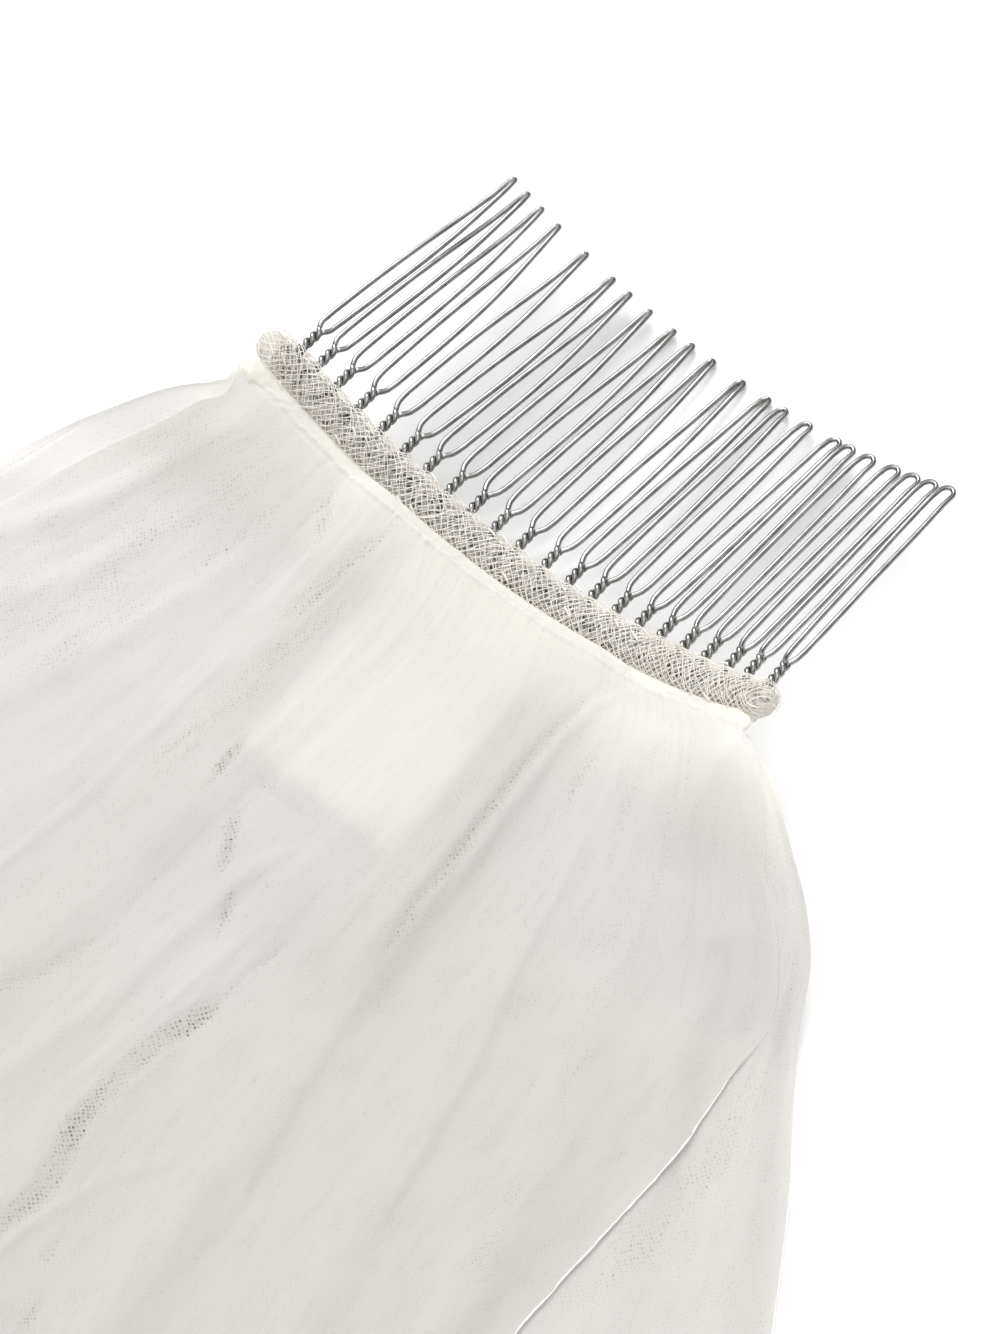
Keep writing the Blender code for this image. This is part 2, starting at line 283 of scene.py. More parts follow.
@dataclass(frozen=True)
class Socket:
    """A number that comes out of a node, with Python's operators."""

    graph: "Graph"
    source: bpy.types.NodeSocket

    def _math(self, operation: str, *numbers: "Socket | float") -> "Socket":
        """Add one Math node."""
        return self.graph.node("ShaderNodeMath", {"operation": operation}, dict(enumerate(numbers)))

    def __add__(self, other: "Socket | float") -> "Socket":
        """Add."""
        return self._math("ADD", self, other)

    def __sub__(self, other: "Socket | float") -> "Socket":
        """Subtract."""
        return self._math("SUBTRACT", self, other)

    def __rsub__(self, other: float) -> "Socket":
        """Subtract from a number."""
        return self._math("SUBTRACT", other, self)

    def __mul__(self, other: "Socket | float") -> "Socket":
        """Multiply."""
        return self._math("MULTIPLY", self, other)

    __radd__ = __add__
    __rmul__ = __mul__

    def fraction(self) -> "Socket":
        """Keep what is past the whole number."""
        return self._math("FRACT", self)

    def size(self) -> "Socket":
        """Drop the sign."""
        return self._math("ABSOLUTE", self)

    def most(self, other: "Socket | float") -> "Socket":
        """Take the larger of two numbers."""
        return self._math("MAXIMUM", self, other)

    def least(self, other: "Socket | float") -> "Socket":
        """Take the smaller of two numbers."""
        return self._math("MINIMUM", self, other)

    def between(self, low: float, high: float) -> "Socket":
        """Rise smoothly from 0 at low to 1 at high.

        Args:
            low: Where the rise starts.
            high: Where it ends.

        Returns:
            A number from 0 to 1.
        """
        settings = {"interpolation_type": "SMOOTHSTEP"}
        return self.graph.node("ShaderNodeMapRange", settings, {0: self, 1: low, 2: high})


class Graph:
    """The nodes of one material, or of the room round the table."""

    def __init__(self, owner: bpy.types.ID, shader: str = "Principled BSDF") -> None:
        """Take up the nodes of a new material or room.

        Args:
            owner: The material or room.
            shader: The name of its own shader node.
        """
        owner.use_nodes = True
        self.owner = owner
        self.tree = owner.node_tree
        self.shader = self.tree.nodes[shader]

    def node(self, kind: str, settings: dict, sockets: dict, output: str | int = 0) -> Socket:
        """Add one node, set it up, then fill its sockets.

        Args:
            kind: The node's type.
            settings: Its own settings, and a ramp's stops under "stops".
            sockets: A value or a Socket for each named or numbered input.
            output: Which output to give back.

        Returns:
            That output.
        """
        made = self.tree.nodes.new(kind)
        for key, value in settings.items():
            if key == "stops":
                self._set_stops(made.color_ramp, value)
            else:
                setattr(made, key, value)
        for key, value in sockets.items():
            self._fill(made.inputs[key], value)
        return Socket(self, made.outputs[output])

    def _set_stops(self, ramp: bpy.types.ColorRamp, stops: list) -> None:
        """Give a ramp its stops, as (place, colour).

        Args:
            ramp: The ramp.
            stops: Its stops, in rising order.
        """
        while len(ramp.elements) < len(stops):
            ramp.elements.new(0.5)
        for element, (place, colour) in zip(ramp.elements, stops):
            element.position = place
            element.color = (*colour, 1.0)

    def _fill(self, socket: bpy.types.NodeSocket, value: object) -> None:
        """Link or set one input.

        Args:
            socket: The input.
            value: A Socket to link, or a value to set.
        """
        if isinstance(value, Socket):
            self.tree.links.new(value.source, socket)
        else:
            socket.default_value = value

    def mix(self, share: "Socket | float", first: object, second: object) -> Socket:
        """Mix two colours.

        Args:
            share: How much of the second colour.
            first: A colour as three numbers, or a Socket.
            second: The same.

        Returns:
            The mixed colour.
        """
        pair = [v if isinstance(v, Socket) else (*v, 1.0) for v in (first, second)]
        sockets = {0: share, 6: pair[0], 7: pair[1]}
        return self.node("ShaderNodeMix", {"data_type": "RGBA"}, sockets, 2)

    def noise(self, scale: float, detail: float = 3.0, place: Socket | None = None) -> Socket:
        """Read soft noise.

        Args:
            scale: Waves in a metre.
            detail: How many finer layers.
            place: Where to read it, or the object's own place.

        Returns:
            A number of about 0.3 to 0.7.
        """
        where = place or self.node("ShaderNodeTexCoord", {}, {}, "Object")
        return self.node("ShaderNodeTexNoise", {}, {"Vector": where, "Scale": scale, "Detail": detail})

    def number(self, name: str) -> Socket:
        """Read a number stored on the mesh."""
        return self.node("ShaderNodeAttribute", {"attribute_name": name}, {}, "Fac")

    def bump(self, height: Socket, distance: float, strength: float) -> None:
        """Raise the surface in the light.

        Args:
            height: The height, from 0 to 1.
            distance: How high 1 is, in metres.
            strength: How strong the light takes it.
        """
        sockets = {"Height": height, "Distance": distance, "Strength": strength}
        self.finish(Normal=self.node("ShaderNodeBump", {}, sockets))

    def let_through(self, share: float, colour: tuple) -> None:
        """Let some light come through from behind, as thin cloth does.

        Args:
            share: How much of the light comes through.
            colour: The colour that it takes.
        """
        behind = self.node("ShaderNodeBsdfTranslucent", {}, {"Color": (*colour, 1.0)})
        front = Socket(self, self.shader.outputs[0])
        both = self.node("ShaderNodeMixShader", {}, {0: share, 1: front, 2: behind})
        self._fill(self.tree.nodes["Material Output"].inputs["Surface"], both)

    def finish(self, **sockets: object) -> bpy.types.ID:
        """Fill the shader's inputs, named with _ for a space.

        Args:
            **sockets: A value or a Socket for each input.

        Returns:
            The material or room.
        """
        for key, value in sockets.items():
            self._fill(self.shader.inputs[key.replace("_", " ")], value)
        return self.owner


# Finishes


@dataclass(frozen=True)
class SteelFinish:
    """Bright drawn steel wire."""

    name: str
    light: tuple = (0.385, 0.385, 0.377)
    dark: tuple = (0.26, 0.26, 0.253)
    rough_low: float = 0.16
    rough_high: float = 0.26

    def make(self) -> bpy.types.Material:
        """Build the material.

        Returns:
            The material.
        """
        graph = Graph(bpy.data.materials.new(self.name))
        stain = graph.noise(420.0, 4.0)
        grain = graph.noise(2600.0, 2.0)
        rough = stain.between(0.35, 0.7) * (self.rough_high - self.rough_low) + self.rough_low
        graph.bump(grain, 0.00001, 0.08)
        return graph.finish(
            Base_Color=graph.mix(stain.between(0.3, 0.7), self.light, self.dark),
            Roughness=rough,
            Metallic=1.0,
        )


@dataclass(frozen=True)
class ThreadFinish:
    """Single threads of net or sewing thread, a little shiny, with a painted glow that brightens them."""

    name: str
    light: tuple
    dark: tuple
    roughness: float = 0.5
    painted_glow: float = 0.0

    def make(self) -> bpy.types.Material:
        """Build the material.

        Returns:
            The material.
        """
        graph = Graph(bpy.data.materials.new(self.name))
        tint = graph.noise(300.0, 3.0)
        twist = graph.noise(5200.0, 2.0)
        graph.bump(twist, 0.00003, 0.4)
        graph.let_through(0.35, self.light)
        # A painted glow in the thread's own colour brightens the threads beyond what the lamps give.
        return graph.finish(
            Base_Color=graph.mix(tint.between(0.35, 0.65), self.light, self.dark),
            Roughness=twist * 0.3 + (self.roughness - 0.15),
            Emission_Color=(*self.light, 1.0),
            Emission_Strength=self.painted_glow,
            Specular_IOR_Level=0.5,
        )


@dataclass(frozen=True)
class RolledFinish:
    """Net rolled tight into a soft cream cord, with fine slanted ridges, painted shade in their grooves and
    a painted glow.
    """

    name: str
    light: tuple = (0.89, 0.878, 0.83)
    dark: tuple = (0.82, 0.80, 0.74)
    painted_glow: float = 0.05

    def make(self) -> bpy.types.Material:
        """Build the material.

        Returns:
            The material.
        """
        graph = Graph(bpy.data.materials.new(self.name))
        place = graph.node("ShaderNodeTexCoord", {}, {}, "Object")
        stretch = {"Vector": place, "Rotation": (0.0, 0.0, 0.35), "Scale": (1.0, 0.25, 1.0)}
        slanted = graph.node("ShaderNodeMapping", {}, stretch)
        ridges = graph.noise(1500.0, 3.0, slanted)
        cloud = graph.noise(160.0, 3.0)
        graph.bump(ridges, 0.00014, 0.3)
        graph.let_through(0.45, self.light)
        # Darker where the ridges' bump is low, a painted shade in the grooves, and darker at random with
        # the cloud; a painted glow in the light colour brightens the whole cord.
        return graph.finish(
            Base_Color=graph.mix(ridges.between(0.55, 0.25) * 0.5 + cloud * 0.3, self.light, self.dark),
            Roughness=cloud * 0.2 + 0.7,
            Emission_Color=(*self.light, 1.0),
            Emission_Strength=self.painted_glow,
            Specular_IOR_Level=0.25,
        )


@dataclass(frozen=True)
class SatinFinish:
    """Plain white satin ribbon."""

    name: str
    light: tuple = (0.93, 0.93, 0.925)
    dark: tuple = (0.86, 0.86, 0.85)

    def make(self) -> bpy.types.Material:
        """Build the material.

        Returns:
            The material.
        """
        graph = Graph(bpy.data.materials.new(self.name))
        place = graph.node("ShaderNodeTexCoord", {}, {}, "Object")
        stretch = {"Vector": place, "Scale": (1.0, 0.12, 1.0)}
        floats = graph.noise(4200.0, 2.0, graph.node("ShaderNodeMapping", {}, stretch))
        cloud = graph.noise(90.0, 2.0)
        graph.bump(floats, 0.00003, 0.35)
        return graph.finish(
            Base_Color=graph.mix(floats.between(0.4, 0.65) * 0.5, self.light, self.dark),
            Roughness=cloud * 0.2 + 0.3,
            Sheen_Weight=0.3,
        )


@dataclass(frozen=True)
class NetFinish:
    """Soft bridal net: crossed threads round small open meshes, closed up where plies gather.

    The mesh's number "open" says how far the meshes let light through, and "shade" how much painted
    shade darkens them. Its vector "weave" counts meshes and its vector "fold" follows the folds.
    "cream" tints the gathers; two more numbers carry painted light that whitens the net, and the
    strength of a painted glow.
    """

    name: str
    light: tuple = (0.762, 0.747, 0.720)
    warm: tuple = (0.85, 0.835, 0.785)
    # Colour that painted light whitens the net towards.
    painted_light: tuple = (0.835, 0.83, 0.815)
    # Colour of the painted shade in the open meshes.
    painted_shade_colour: tuple = (0.11, 0.095, 0.075)
    thread: float = 0.38
    second_turn: float = 0.42
    second_size: float = 0.87
    # How much painted shade darkens the open meshes everywhere.
    faint_painted_shade: float = 0.12
    through: float = 0.46
    # Strength of the painted glow.
    painted_glow_strength: float = 0.20
    stray: float = 4.0
    stray_scale: float = 0.11
    speck_scale: float = 0.9
    streak_scale: float = 1.0
    relief: float = 0.00005

    def make(self) -> bpy.types.Material:
        """Build the material.

        Returns:
            The material.
        """
        graph = Graph(bpy.data.materials.new(self.name))
        plain = graph.node("ShaderNodeAttribute", {"attribute_name": "weave"}, {}, "Vector")
        soft = {"Vector": plain, "Scale": self.stray_scale, "Detail": 2.0}
        drift = graph.node("ShaderNodeTexNoise", {}, soft, "Color")
        moved = {"operation": "MULTIPLY_ADD"}
        aside = (self.stray, self.stray, 0.0)
        weave = graph.node("ShaderNodeVectorMath", moved, {0: drift, 1: aside, 2: plain})
        size = (self.second_size, self.second_size, self.second_size)
        turned = {"Vector": weave, "Rotation": (0.0, 0.0, self.second_turn), "Scale": size}
        first = self._threads(graph, weave)
        second = self._threads(graph, graph.node("ShaderNodeMapping", {}, turned))
        fold = graph.node("ShaderNodeAttribute", {"attribute_name": "fold"}, {}, "Vector")
        cloud = graph.noise(self.stray_scale, 3.0, plain).between(0.32, 0.68)
        speck = graph.noise(self.speck_scale, 1.0, plain).between(0.40, 0.62)
        streak = graph.noise(self.streak_scale, 3.0, fold).between(0.42, 0.64)
        hole = (1.0 - first) * (1.0 - second * (0.25 + 0.45 * cloud))
        opened = graph.number("open")
        shade = graph.number("shade")
        cream = graph.number("cream")
        patch = streak * (0.25 + 0.75 * cloud)
        # Painted shade: the open meshes and the streaks along the folds darken towards the painted shade
        # colour, where shade would fall under the net.
        painted_shade_share = hole * shade * (0.10 + 1.35 * speck) * (0.55 + 0.6 * streak) + shade * shade * 0.12
        painted_shade_share = painted_shade_share + hole * self.faint_painted_shade * patch * (0.1 + 1.9 * speck) + patch * 0.04
        # Painted light whitens the net over the cream tint of the gathers.
        ivory = graph.mix(graph.number("painted_light"), graph.mix(cream, self.light, self.warm), self.painted_light)
        graph.bump(first * 0.6 + second * 0.4, self.relief, 0.15)
        graph.let_through(self.through, self.light)
        return graph.finish(
            Base_Color=graph.mix(painted_shade_share.least(1.0), ivory, self.painted_shade_colour),
            Roughness=0.80 + 0.12 * cloud,
            Alpha=1.0 - hole * opened * (0.35 + 0.9 * speck),
            # Painted glow in the warm colour, with its strength read from the mesh.
            Emission_Color=graph.mix(graph.number("painted_glow_amount"), (0.0, 0.0, 0.0), self.warm),
            Emission_Strength=self.painted_glow_strength,
            Specular_IOR_Level=0.2,
        )

    def _threads(self, graph: Graph, place: Socket) -> Socket:
        """Cross two sets of threads.

        Args:
            graph: The material's nodes.
            place: Where the surface lies, counted in meshes.

        Returns:
            1 on a thread and 0 in a mesh.
        """
        low, high = 1.0 - 2.0 * self.thread, 1.0 - 0.5 * self.thread
        parts = [graph.node("ShaderNodeSeparateXYZ", {}, {0: place}, axis) for axis in range(2)]
        edges = [((part.fraction() - 0.5).size() * 2.0).between(low, high) for part in parts]
        return edges[0].most(edges[1])


@dataclass(frozen=True)
class FloorFinish:
    """A plain white table."""

    name: str
    light: tuple = (0.93, 0.93, 0.93)
    dark: tuple = (0.915, 0.915, 0.915)

    def make(self) -> bpy.types.Material:
        """Build the material.

        Returns:
            The material.
        """
        graph = Graph(bpy.data.materials.new(self.name))
        cloud = graph.noise(6.0, 3.0)
        return graph.finish(Base_Color=graph.mix(cloud, self.light, self.dark), Roughness=cloud * 0.1 + 0.6)


# The comb's own axes


@dataclass(frozen=True)
class CombAxes:
    """The comb's place in the frame, and the bar's curve.

    Args:
        arch: Radius of the bar's curve.
        tilt: How far the bar leans to one side, in radians.
        bar_y: Where the bar lies behind the forks.
        bar_z: Height of the bar's middle.
        lean: How far the tiers lie to one side of the comb.
        steepest: Sine of the steepest slope at which the curve is read.
    """

    arch: float = 70.0 * MM
    tilt: float = math.radians(-0.58)
    bar_y: float = -6.2 * MM
    bar_z: float = 2.5 * MM
    lean: float = 3.0 * MM
    steepest: float = 0.99

    def origin(self) -> Array:
        """Give the forks' middle in the frame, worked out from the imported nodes.

        Returns:
            The point.
        """
        tier_low, tier_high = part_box("lower_tier")
        spine_low, spine_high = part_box("comb_spine")
        across = (tier_low.x + tier_high.x) / 2.0 - self.lean
        along = (spine_low.y + spine_high.y) / 2.0 - self.bar_y
        return np.array([across, along, 0.0])

    def bar(self, along: Array) -> tuple:
        """Follow the bar's curve.

        Args:
            along: Distances along the bar from its middle.

        Returns:
            The bar's centres, its directions and its upward normals, one row for each distance.
        """
        along = np.atleast_1d(np.asarray(along, float))
        angle = along / self.arch + self.tilt
        across = self.arch * (np.sin(angle) - math.sin(self.tilt))
        height = self.bar_z + self.arch * (math.cos(self.tilt) - np.cos(angle))
        nought = np.zeros_like(angle)
        centre = np.stack([across, nought + self.bar_y, height], axis=1)
        side = np.stack([np.cos(angle), nought, np.sin(angle)], axis=1)
        up = np.stack([-np.sin(angle), nought, np.cos(angle)], axis=1)
        return centre, side, up

    def rise(self, across: Array) -> Array:
        """Give how far the bar has risen above its middle at a distance across the comb.

        Args:
            across: Distances across from the comb's middle.

        Returns:
            The rise at each.
        """
        sine = across / self.arch + math.sin(self.tilt)
        angle = np.arcsin(np.clip(sine, -self.steepest, self.steepest))
        return np.maximum(0.0, self.arch * (math.cos(self.tilt) - np.cos(angle)))


# Comb


@dataclass
class WireComb:
    """Twenty-two hairpin teeth with twisted necks, on a bar of two wires twisted together."""

    axes: CombAxes
    wire: float = 0.36 * MM
    pitch: float = 3.8 * MM
    length: float = 34.9 * MM
    slope: float = math.radians(3.64)
    droop: float = 0.2 * MM
    converge: float = 3.3 * MM
    bar_half: float = 41.0 * MM
    spine_half: float = 40.6 * MM
    neck_rise: float = 0.6 * MM
    lobe: float = 1.18 * MM
    strand: float = 0.36 * MM
    neck_steps: int = 30
    leg_steps: int = 34
    tip_steps: int = 9
    sides: int = 12
    leg_shape: tuple = (
        # along the tooth, half the spread of its legs, in millimetres
        (0.0, 0.36),
        (0.5, 0.66),
        (1.1, 0.93),
        (1.9, 1.06),
        (5.0, 1.16),
        (9.0, 1.22),
        (22.0, 1.16),
        (34.2, 1.08),
    )
    twist_start: float = 14.0 * MM
    twist_first: float = math.radians(31.0)
    twist_last: float = math.radians(-2.0)
    taper_start: float = 11.0 * MM
    taper_power: float = 2.0
    tip_first: float = 0.40 * MM
    tip_point: float = 1.4
    tip_last: float = 0.86 * MM
    tip_side: float = 0.30 * MM
    curl: float = 0.35 * MM
    curl_run: float = 2.5 * MM
    neck_gap: float = 0.5 * MM
    neck_end: float = -0.05 * MM
    crowding: float = 1.6
    fork_run: float = 2.0 * MM
    bow: float = 0.06 * MM
    turned_from: float = 0.30
    turned_to: float = 0.90
    bar_wire: float = 0.30 * MM
    bar_sides: int = 8
    bar_steps: int = 360
    seed: int = 22
    bar_coils: tuple = (
        # share of a turn at the middle, radius and pitch in millimetres
        (0.0, 0.36, 3.8),
        (0.5, 0.36, 3.8),
        (0.2, 1.30, 1.27),
        (0.7, 1.55, 3.8),
    )
    tooth_set: tuple = (
        # shift of the neck and lean of the tip in millimetres, share of full width
        (1.0, 0.4, 0.64), (0.1, 0.1, 0.70), (-0.3, -0.6, 0.88), (-0.3, -1.2, 0.96),
        (-0.2, 0.0, 1.00), (-0.1, 0.9, 1.00), (-0.3, 0.3, 0.96), (-0.2, 0.0, 1.00),
        (-0.3, 0.4, 1.00), (-0.3, -0.2, 0.96), (-0.2, -0.5, 1.00), (0.2, 0.3, 1.00),
        (0.3, 0.7, 0.96), (0.2, -0.1, 1.00), (0.2, 0.2, 1.00), (0.2, 1.3, 0.96),
        (0.0, 0.1, 0.92), (0.0, -0.2, 1.00), (-0.1, 0.4, 0.92), (0.1, -0.1, 0.96),
        (-0.2, -0.4, 0.92), (0.3, -1.5, 1.00),
    )

    def lift(self, forward: Array) -> Array:
        """Give a leg's height over the bar at a distance in front of the fork.

        Args:
            forward: Distances in front of the fork, negative in the neck.

        Returns:
            The heights.
        """
        share = np.clip(forward / self.length, 0.0, 1.0)
        rise = self.neck_rise - np.maximum(forward, 0.0) * math.sin(self.slope) - self.droop * share**2
        rise = rise - self.curl * ease(forward, self.length - self.curl_run, self.length)
        behind = self.neck_rise * (forward - self.axes.bar_y) / -self.axes.bar_y
        return np.where(forward < 0.0, behind, rise)

    def outline(self, width: float, tip_half: float, draw: np.random.Generator) -> Array:
        """List one tooth's wire from one end of its neck to the other.

        Args:
            width: Share of full width.
            tip_half: Half the spread of the legs by the tip.
            draw: Where its small unevenness comes from.

        Returns:
            Rows of (aside, forward, height over the tooth's middle line).
        """
        start = self.axes.bar_y + self.neck_gap
        forward = np.linspace(start, self.neck_end, self.neck_steps)
        turn = math.pi * (1.0 + forward / self.lobe)
        neck = np.stack([self.strand * np.cos(turn), forward, self.strand * np.sin(turn)], axis=1)
        mirrored = neck * (-1.0, 1.0, -1.0)
        places, spreads = np.array(self.leg_shape).T * MM
        last = self.length - self.tip_point * tip_half
        forward = last * np.linspace(0.0, 1.0, self.leg_steps) ** self.crowding
        spread = smooth_through(places, spreads, forward) - self.strand
        spread = self.strand + spread * (1.0 - (1.0 - width) * ease(forward, 0.0, self.fork_run))
        closing = np.clip((forward - self.taper_start) / (last - self.taper_start), 0.0, 1.0)
        spread = spread + (tip_half - spread) * closing**self.taper_power
        bow = draw.normal(0.0, self.bow, 2)
        swell = np.sin(math.pi * forward / last)
        legs = [
            np.stack([sign * spread + bow[side] * swell, forward, np.zeros_like(forward)], axis=1)
            for side, sign in enumerate((-1.0, 1.0))
        ]
        turn = np.linspace(math.pi, 0.0, self.tip_steps)[1:-1]
        end = spread[-1]
        reach = last + self.tip_point * end * np.sin(turn)
        tip = np.stack([end * np.cos(turn), reach, np.zeros_like(reach)], axis=1)
        return np.concatenate([neck, legs[0], tip, legs[1][::-1], mirrored[::-1]])

    def tooth(self, number: int, draw: np.random.Generator) -> Array:
        """Place one tooth's wire on the bar.

        Args:
            number: Which tooth, from 0.
            draw: Where its small unevenness comes from.

        Returns:
            The wire's points in the frame.
        """
        shift, lean, width = self.tooth_set[number]
        along = (number - (len(self.tooth_set) - 1) / 2.0) * self.pitch + shift * MM
        centre, side, up = (row[0] for row in self.axes.bar(along))
        fork = np.array([centre[0], 0.0, centre[2]])
        share = float(ease(number / (len(self.tooth_set) - 1.0), self.turned_from, self.turned_to))
        tip_half = self.tip_first + (self.tip_last - self.tip_first) * share
        aside, forward, over = self.outline(width, tip_half, draw).T
        reach = np.clip(forward / self.length, 0.0, 1.0)
        middle = (lean * MM - self.converge * along / self.bar_half) * reach
        middle += self.tip_side * (1.0 - share) * np.sin(math.pi * reach**self.crowding)
        wanted = self.twist_first + (self.twist_last - self.twist_first) * share
        roll = (wanted - math.atan2(side[2], side[0])) * ease(forward, self.twist_start, self.length)
        sideways = middle + aside * np.cos(roll)
        upward = self.lift(forward) + over + aside * np.sin(roll)
        ahead = np.array([0.0, 1.0, 0.0])
        places = fork + np.outer(sideways, side) + np.outer(upward, up) + np.outer(forward, ahead)
        return self.axes.origin() + places

    def spine(self) -> Array:
        """Give the paths of the bar's two twisted wires and of the coil round them.

        Returns:
            Points shaped (wires, points, 3).
        """
        along = np.linspace(-self.spine_half, self.spine_half, self.bar_steps)
        centre, _, up = self.axes.bar(along)
        ahead = np.array([0.0, 1.0, 0.0])
        paths = []
        for phase, radius, pitch in self.bar_coils:
            turn = TAU * (along / (pitch * MM) + phase)
            across = np.cos(turn)[:, None] * up + np.outer(np.sin(turn), ahead)
            paths.append(centre + across * radius * MM)
        return self.axes.origin() + np.array(paths)

    def build(self, steel: bpy.types.Material, bar_steel: bpy.types.Material) -> list:
        """Build the bar and every tooth.

        Args:
            steel: The finish of the teeth.
            bar_steel: The bar's finish, painted darker than the teeth's steel as shade under its net.

        Returns:
            The pieces.
        """
        draw = np.random.default_rng(self.seed)
        wires = swept("comb_bar_wires", self.spine(), self.bar_wire, self.bar_sides)
        spine = add_piece("comb_bar_wires", wires)
        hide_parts("comb_spine")
        pieces = [spine]
        for number in range(len(self.tooth_set)):
            node = "tooth_%02d" % (number + 1)
            path = self.tooth(number, draw)[None]
            piece = add_piece("wire_" + node, swept("wire_" + node, path, self.wire, self.sides))
            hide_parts(node)
            pieces.append(piece)
        for piece in pieces:
            dress(piece, bar_steel if piece is spine else steel)
        return pieces


def dress(piece: bpy.types.Object, finish: bpy.types.Material) -> None:
    """Give a piece its finish and let it ride on the veil's one body.

    Args:
        piece: The piece.
        finish: Its material.
    """
    piece.data.materials.append(finish)
    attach(piece, BODY)
    LOG.info("%s: %d faces", piece.name, len(piece.data.polygons))


# Wound net


@dataclass(frozen=True)
class ThreadPly:
    """One ply of crossed threads round the bar.

    Args:
        angle: Angle of its first set of threads to the bar, in degrees.
        scale: Size of the ply's section against the wound strip's.
        gap: Distance between threads.
        share: Share of the threads that are there.
        seed: Where its unevenness comes from.
        steps: Steps in each short length of thread.
        width: Thickness against the other plies' threads.
        crossed: Whether a second set of threads crosses the first.
    """

    angle: float
    scale: float
    gap: float
    share: float
    seed: int
    steps: int = 12
    width: float = 1.0
    crossed: bool = True


@dataclass
class WoundNet:
    """A strip of net wound round the bar, with rounded ends, that lets the wire show through."""

    axes: CombAxes
    half: float = 43.6 * MM
    end: float = 3.4 * MM
    depth: float = 2.95 * MM
    height: float = 2.2 * MM
    thread: float = 0.062 * MM
    step: float = 0.42 * MM
    wobble: float = 0.16 * MM
    turns: float = 1.15
    strip_radius: float = 2.0 * MM
    plies: tuple = (
        # angle, scale, gap, share, seed, steps, width, crossed
        ThreadPly(38.0, 1.00, 0.66 * MM, 0.94, 1),
        ThreadPly(54.0, 0.91, 0.82 * MM, 0.80, 2),
        ThreadPly(45.0, 1.09, 0.95 * MM, 0.22, 4),
        ThreadPly(24.0, 1.11, 1.10 * MM, 0.07, 5, 4, 2.1, False),
    )
    bulge: float = 0.045
    bulge_pitch: float = 3.8 * MM
    bulge_slant: float = 0.35
    uneven: float = 0.04
    end_size: float = 0.1
    thread_sides: int = 3
    strip_start: float = math.radians(198.0)
    strip_inner: float = 0.66
    strip_growth: float = 0.20
    strip_uneven: float = 0.03
    strip_grid: tuple = (161, 61)
    strip_cell: float = 0.78 * MM
    strip_slant: float = math.radians(38.0)
    strip_open: float = 0.95
    strip_cream: float = 0.15

    def place(self, along: Array, turn: Array, scale: Array) -> Array:
        """Put points on the wound strip's surface.

        Args:
            along: Distances along the bar.
            turn: Angles round it, from the front over the top.
            scale: Size against the strip's own section.

        Returns:
            Points in the frame.
        """
        shape = np.shape(along)
        centre, _, up = self.axes.bar(np.ravel(along))
        inward = np.clip((np.abs(np.ravel(along)) - (self.half - self.end)) / self.end, 0.0, 1.0)
        size = np.sqrt(np.maximum(1.0 - inward**2, 0.0)) * (1.0 - self.end_size) + self.end_size
        size = size * np.ravel(np.broadcast_to(scale, shape))
        angle = np.ravel(turn)
        points = centre + up * (self.height * size * np.sin(angle))[:, None]
        points[:, 1] += self.depth * size * np.cos(angle)
        return self.axes.origin() + points.reshape(*shape, 3)

    def ply_paths(self, ply: ThreadPly, crossing: int) -> Array:
        """Work out one set of a ply's threads.

        Args:
            ply: The ply.
            crossing: 0 for its first set, and 1 for the set that crosses it.

        Returns:
            Threads cut to equal short lengths, shaped (threads, points, 3).
        """
        draw = np.random.default_rng(ply.seed * 10 + crossing)
        angle = math.radians(ply.angle - 90.0 * crossing)
        round_size = 0.5 * (self.depth + self.height) * ply.scale
        girth = TAU * round_size
        length = ply.steps * self.step
        reach = self.half * abs(math.sin(angle)) + girth / 2.0 * abs(math.cos(angle))
        lines = np.arange(-reach, reach, ply.gap)
        extent = self.half * abs(math.cos(angle)) + girth / 2.0 * abs(math.sin(angle))
        starts = np.arange(-extent, extent, length)
        line, start = (grid.ravel() for grid in np.meshgrid(lines, starts, indexing="ij"))
        run = start[:, None] + np.linspace(0.0, length, ply.steps + 1)
        along = run * math.cos(angle) - line[:, None] * math.sin(angle)
        arc = run * math.sin(angle) + line[:, None] * math.cos(angle)
        inside = (np.abs(along) < self.half).all(axis=1) & (np.abs(arc) < girth / 2.0).all(axis=1)
        along, arc = along[inside], arc[inside]
        kept = draw.random(len(along)) < ply.share
        along, arc = along[kept], arc[kept]
        waver = Waver(ply.seed, 5.0 * MM, 4)
        along = along + self.wobble * waver.at(along, arc)
        arc = arc + self.wobble * waver.at(arc + 1.0, along)
        swell = 1.0 + self.uneven * waver.at(along * 0.6, arc + 2.0)
        swell += self.bulge * np.cos(TAU * (along - arc * self.bulge_slant) / self.bulge_pitch)
        return self.place(along, arc / round_size + math.pi / 2.0, ply.scale * swell)

    def strip_mesh(self) -> bpy.types.Mesh:
        """Wind the strip's inner plies as one thin sheet.

        Returns:
            The strip, with what its finish reads.
        """
        stations, turns = self.strip_grid
        along = np.linspace(-self.half, self.half, stations)
        along, share = np.meshgrid(along, np.linspace(0.0, 1.0, turns), indexing="ij")
        turn = self.strip_start + TAU * self.turns * share
        waver = Waver(9, 9.0 * MM)
        scale = self.strip_inner + self.strip_growth * share
        scale = scale + self.strip_uneven * waver.at(along, share * 20.0 * MM)
        mesh = grid_mesh("wound_strip", self.place(along, turn, scale))
        girth = TAU * self.strip_radius * self.turns
        flat = np.stack([along.ravel(), share.ravel() * girth, np.zeros(along.size)], axis=1)
        cosine, sine = math.cos(self.strip_slant), math.sin(self.strip_slant)
        spin = np.array([[cosine, -sine, 0.0], [sine, cosine, 0.0], [0.0, 0.0, 1.0]])
        set_place(mesh, "weave", flat @ spin.T / self.strip_cell)
        set_place(mesh, "fold", flat)
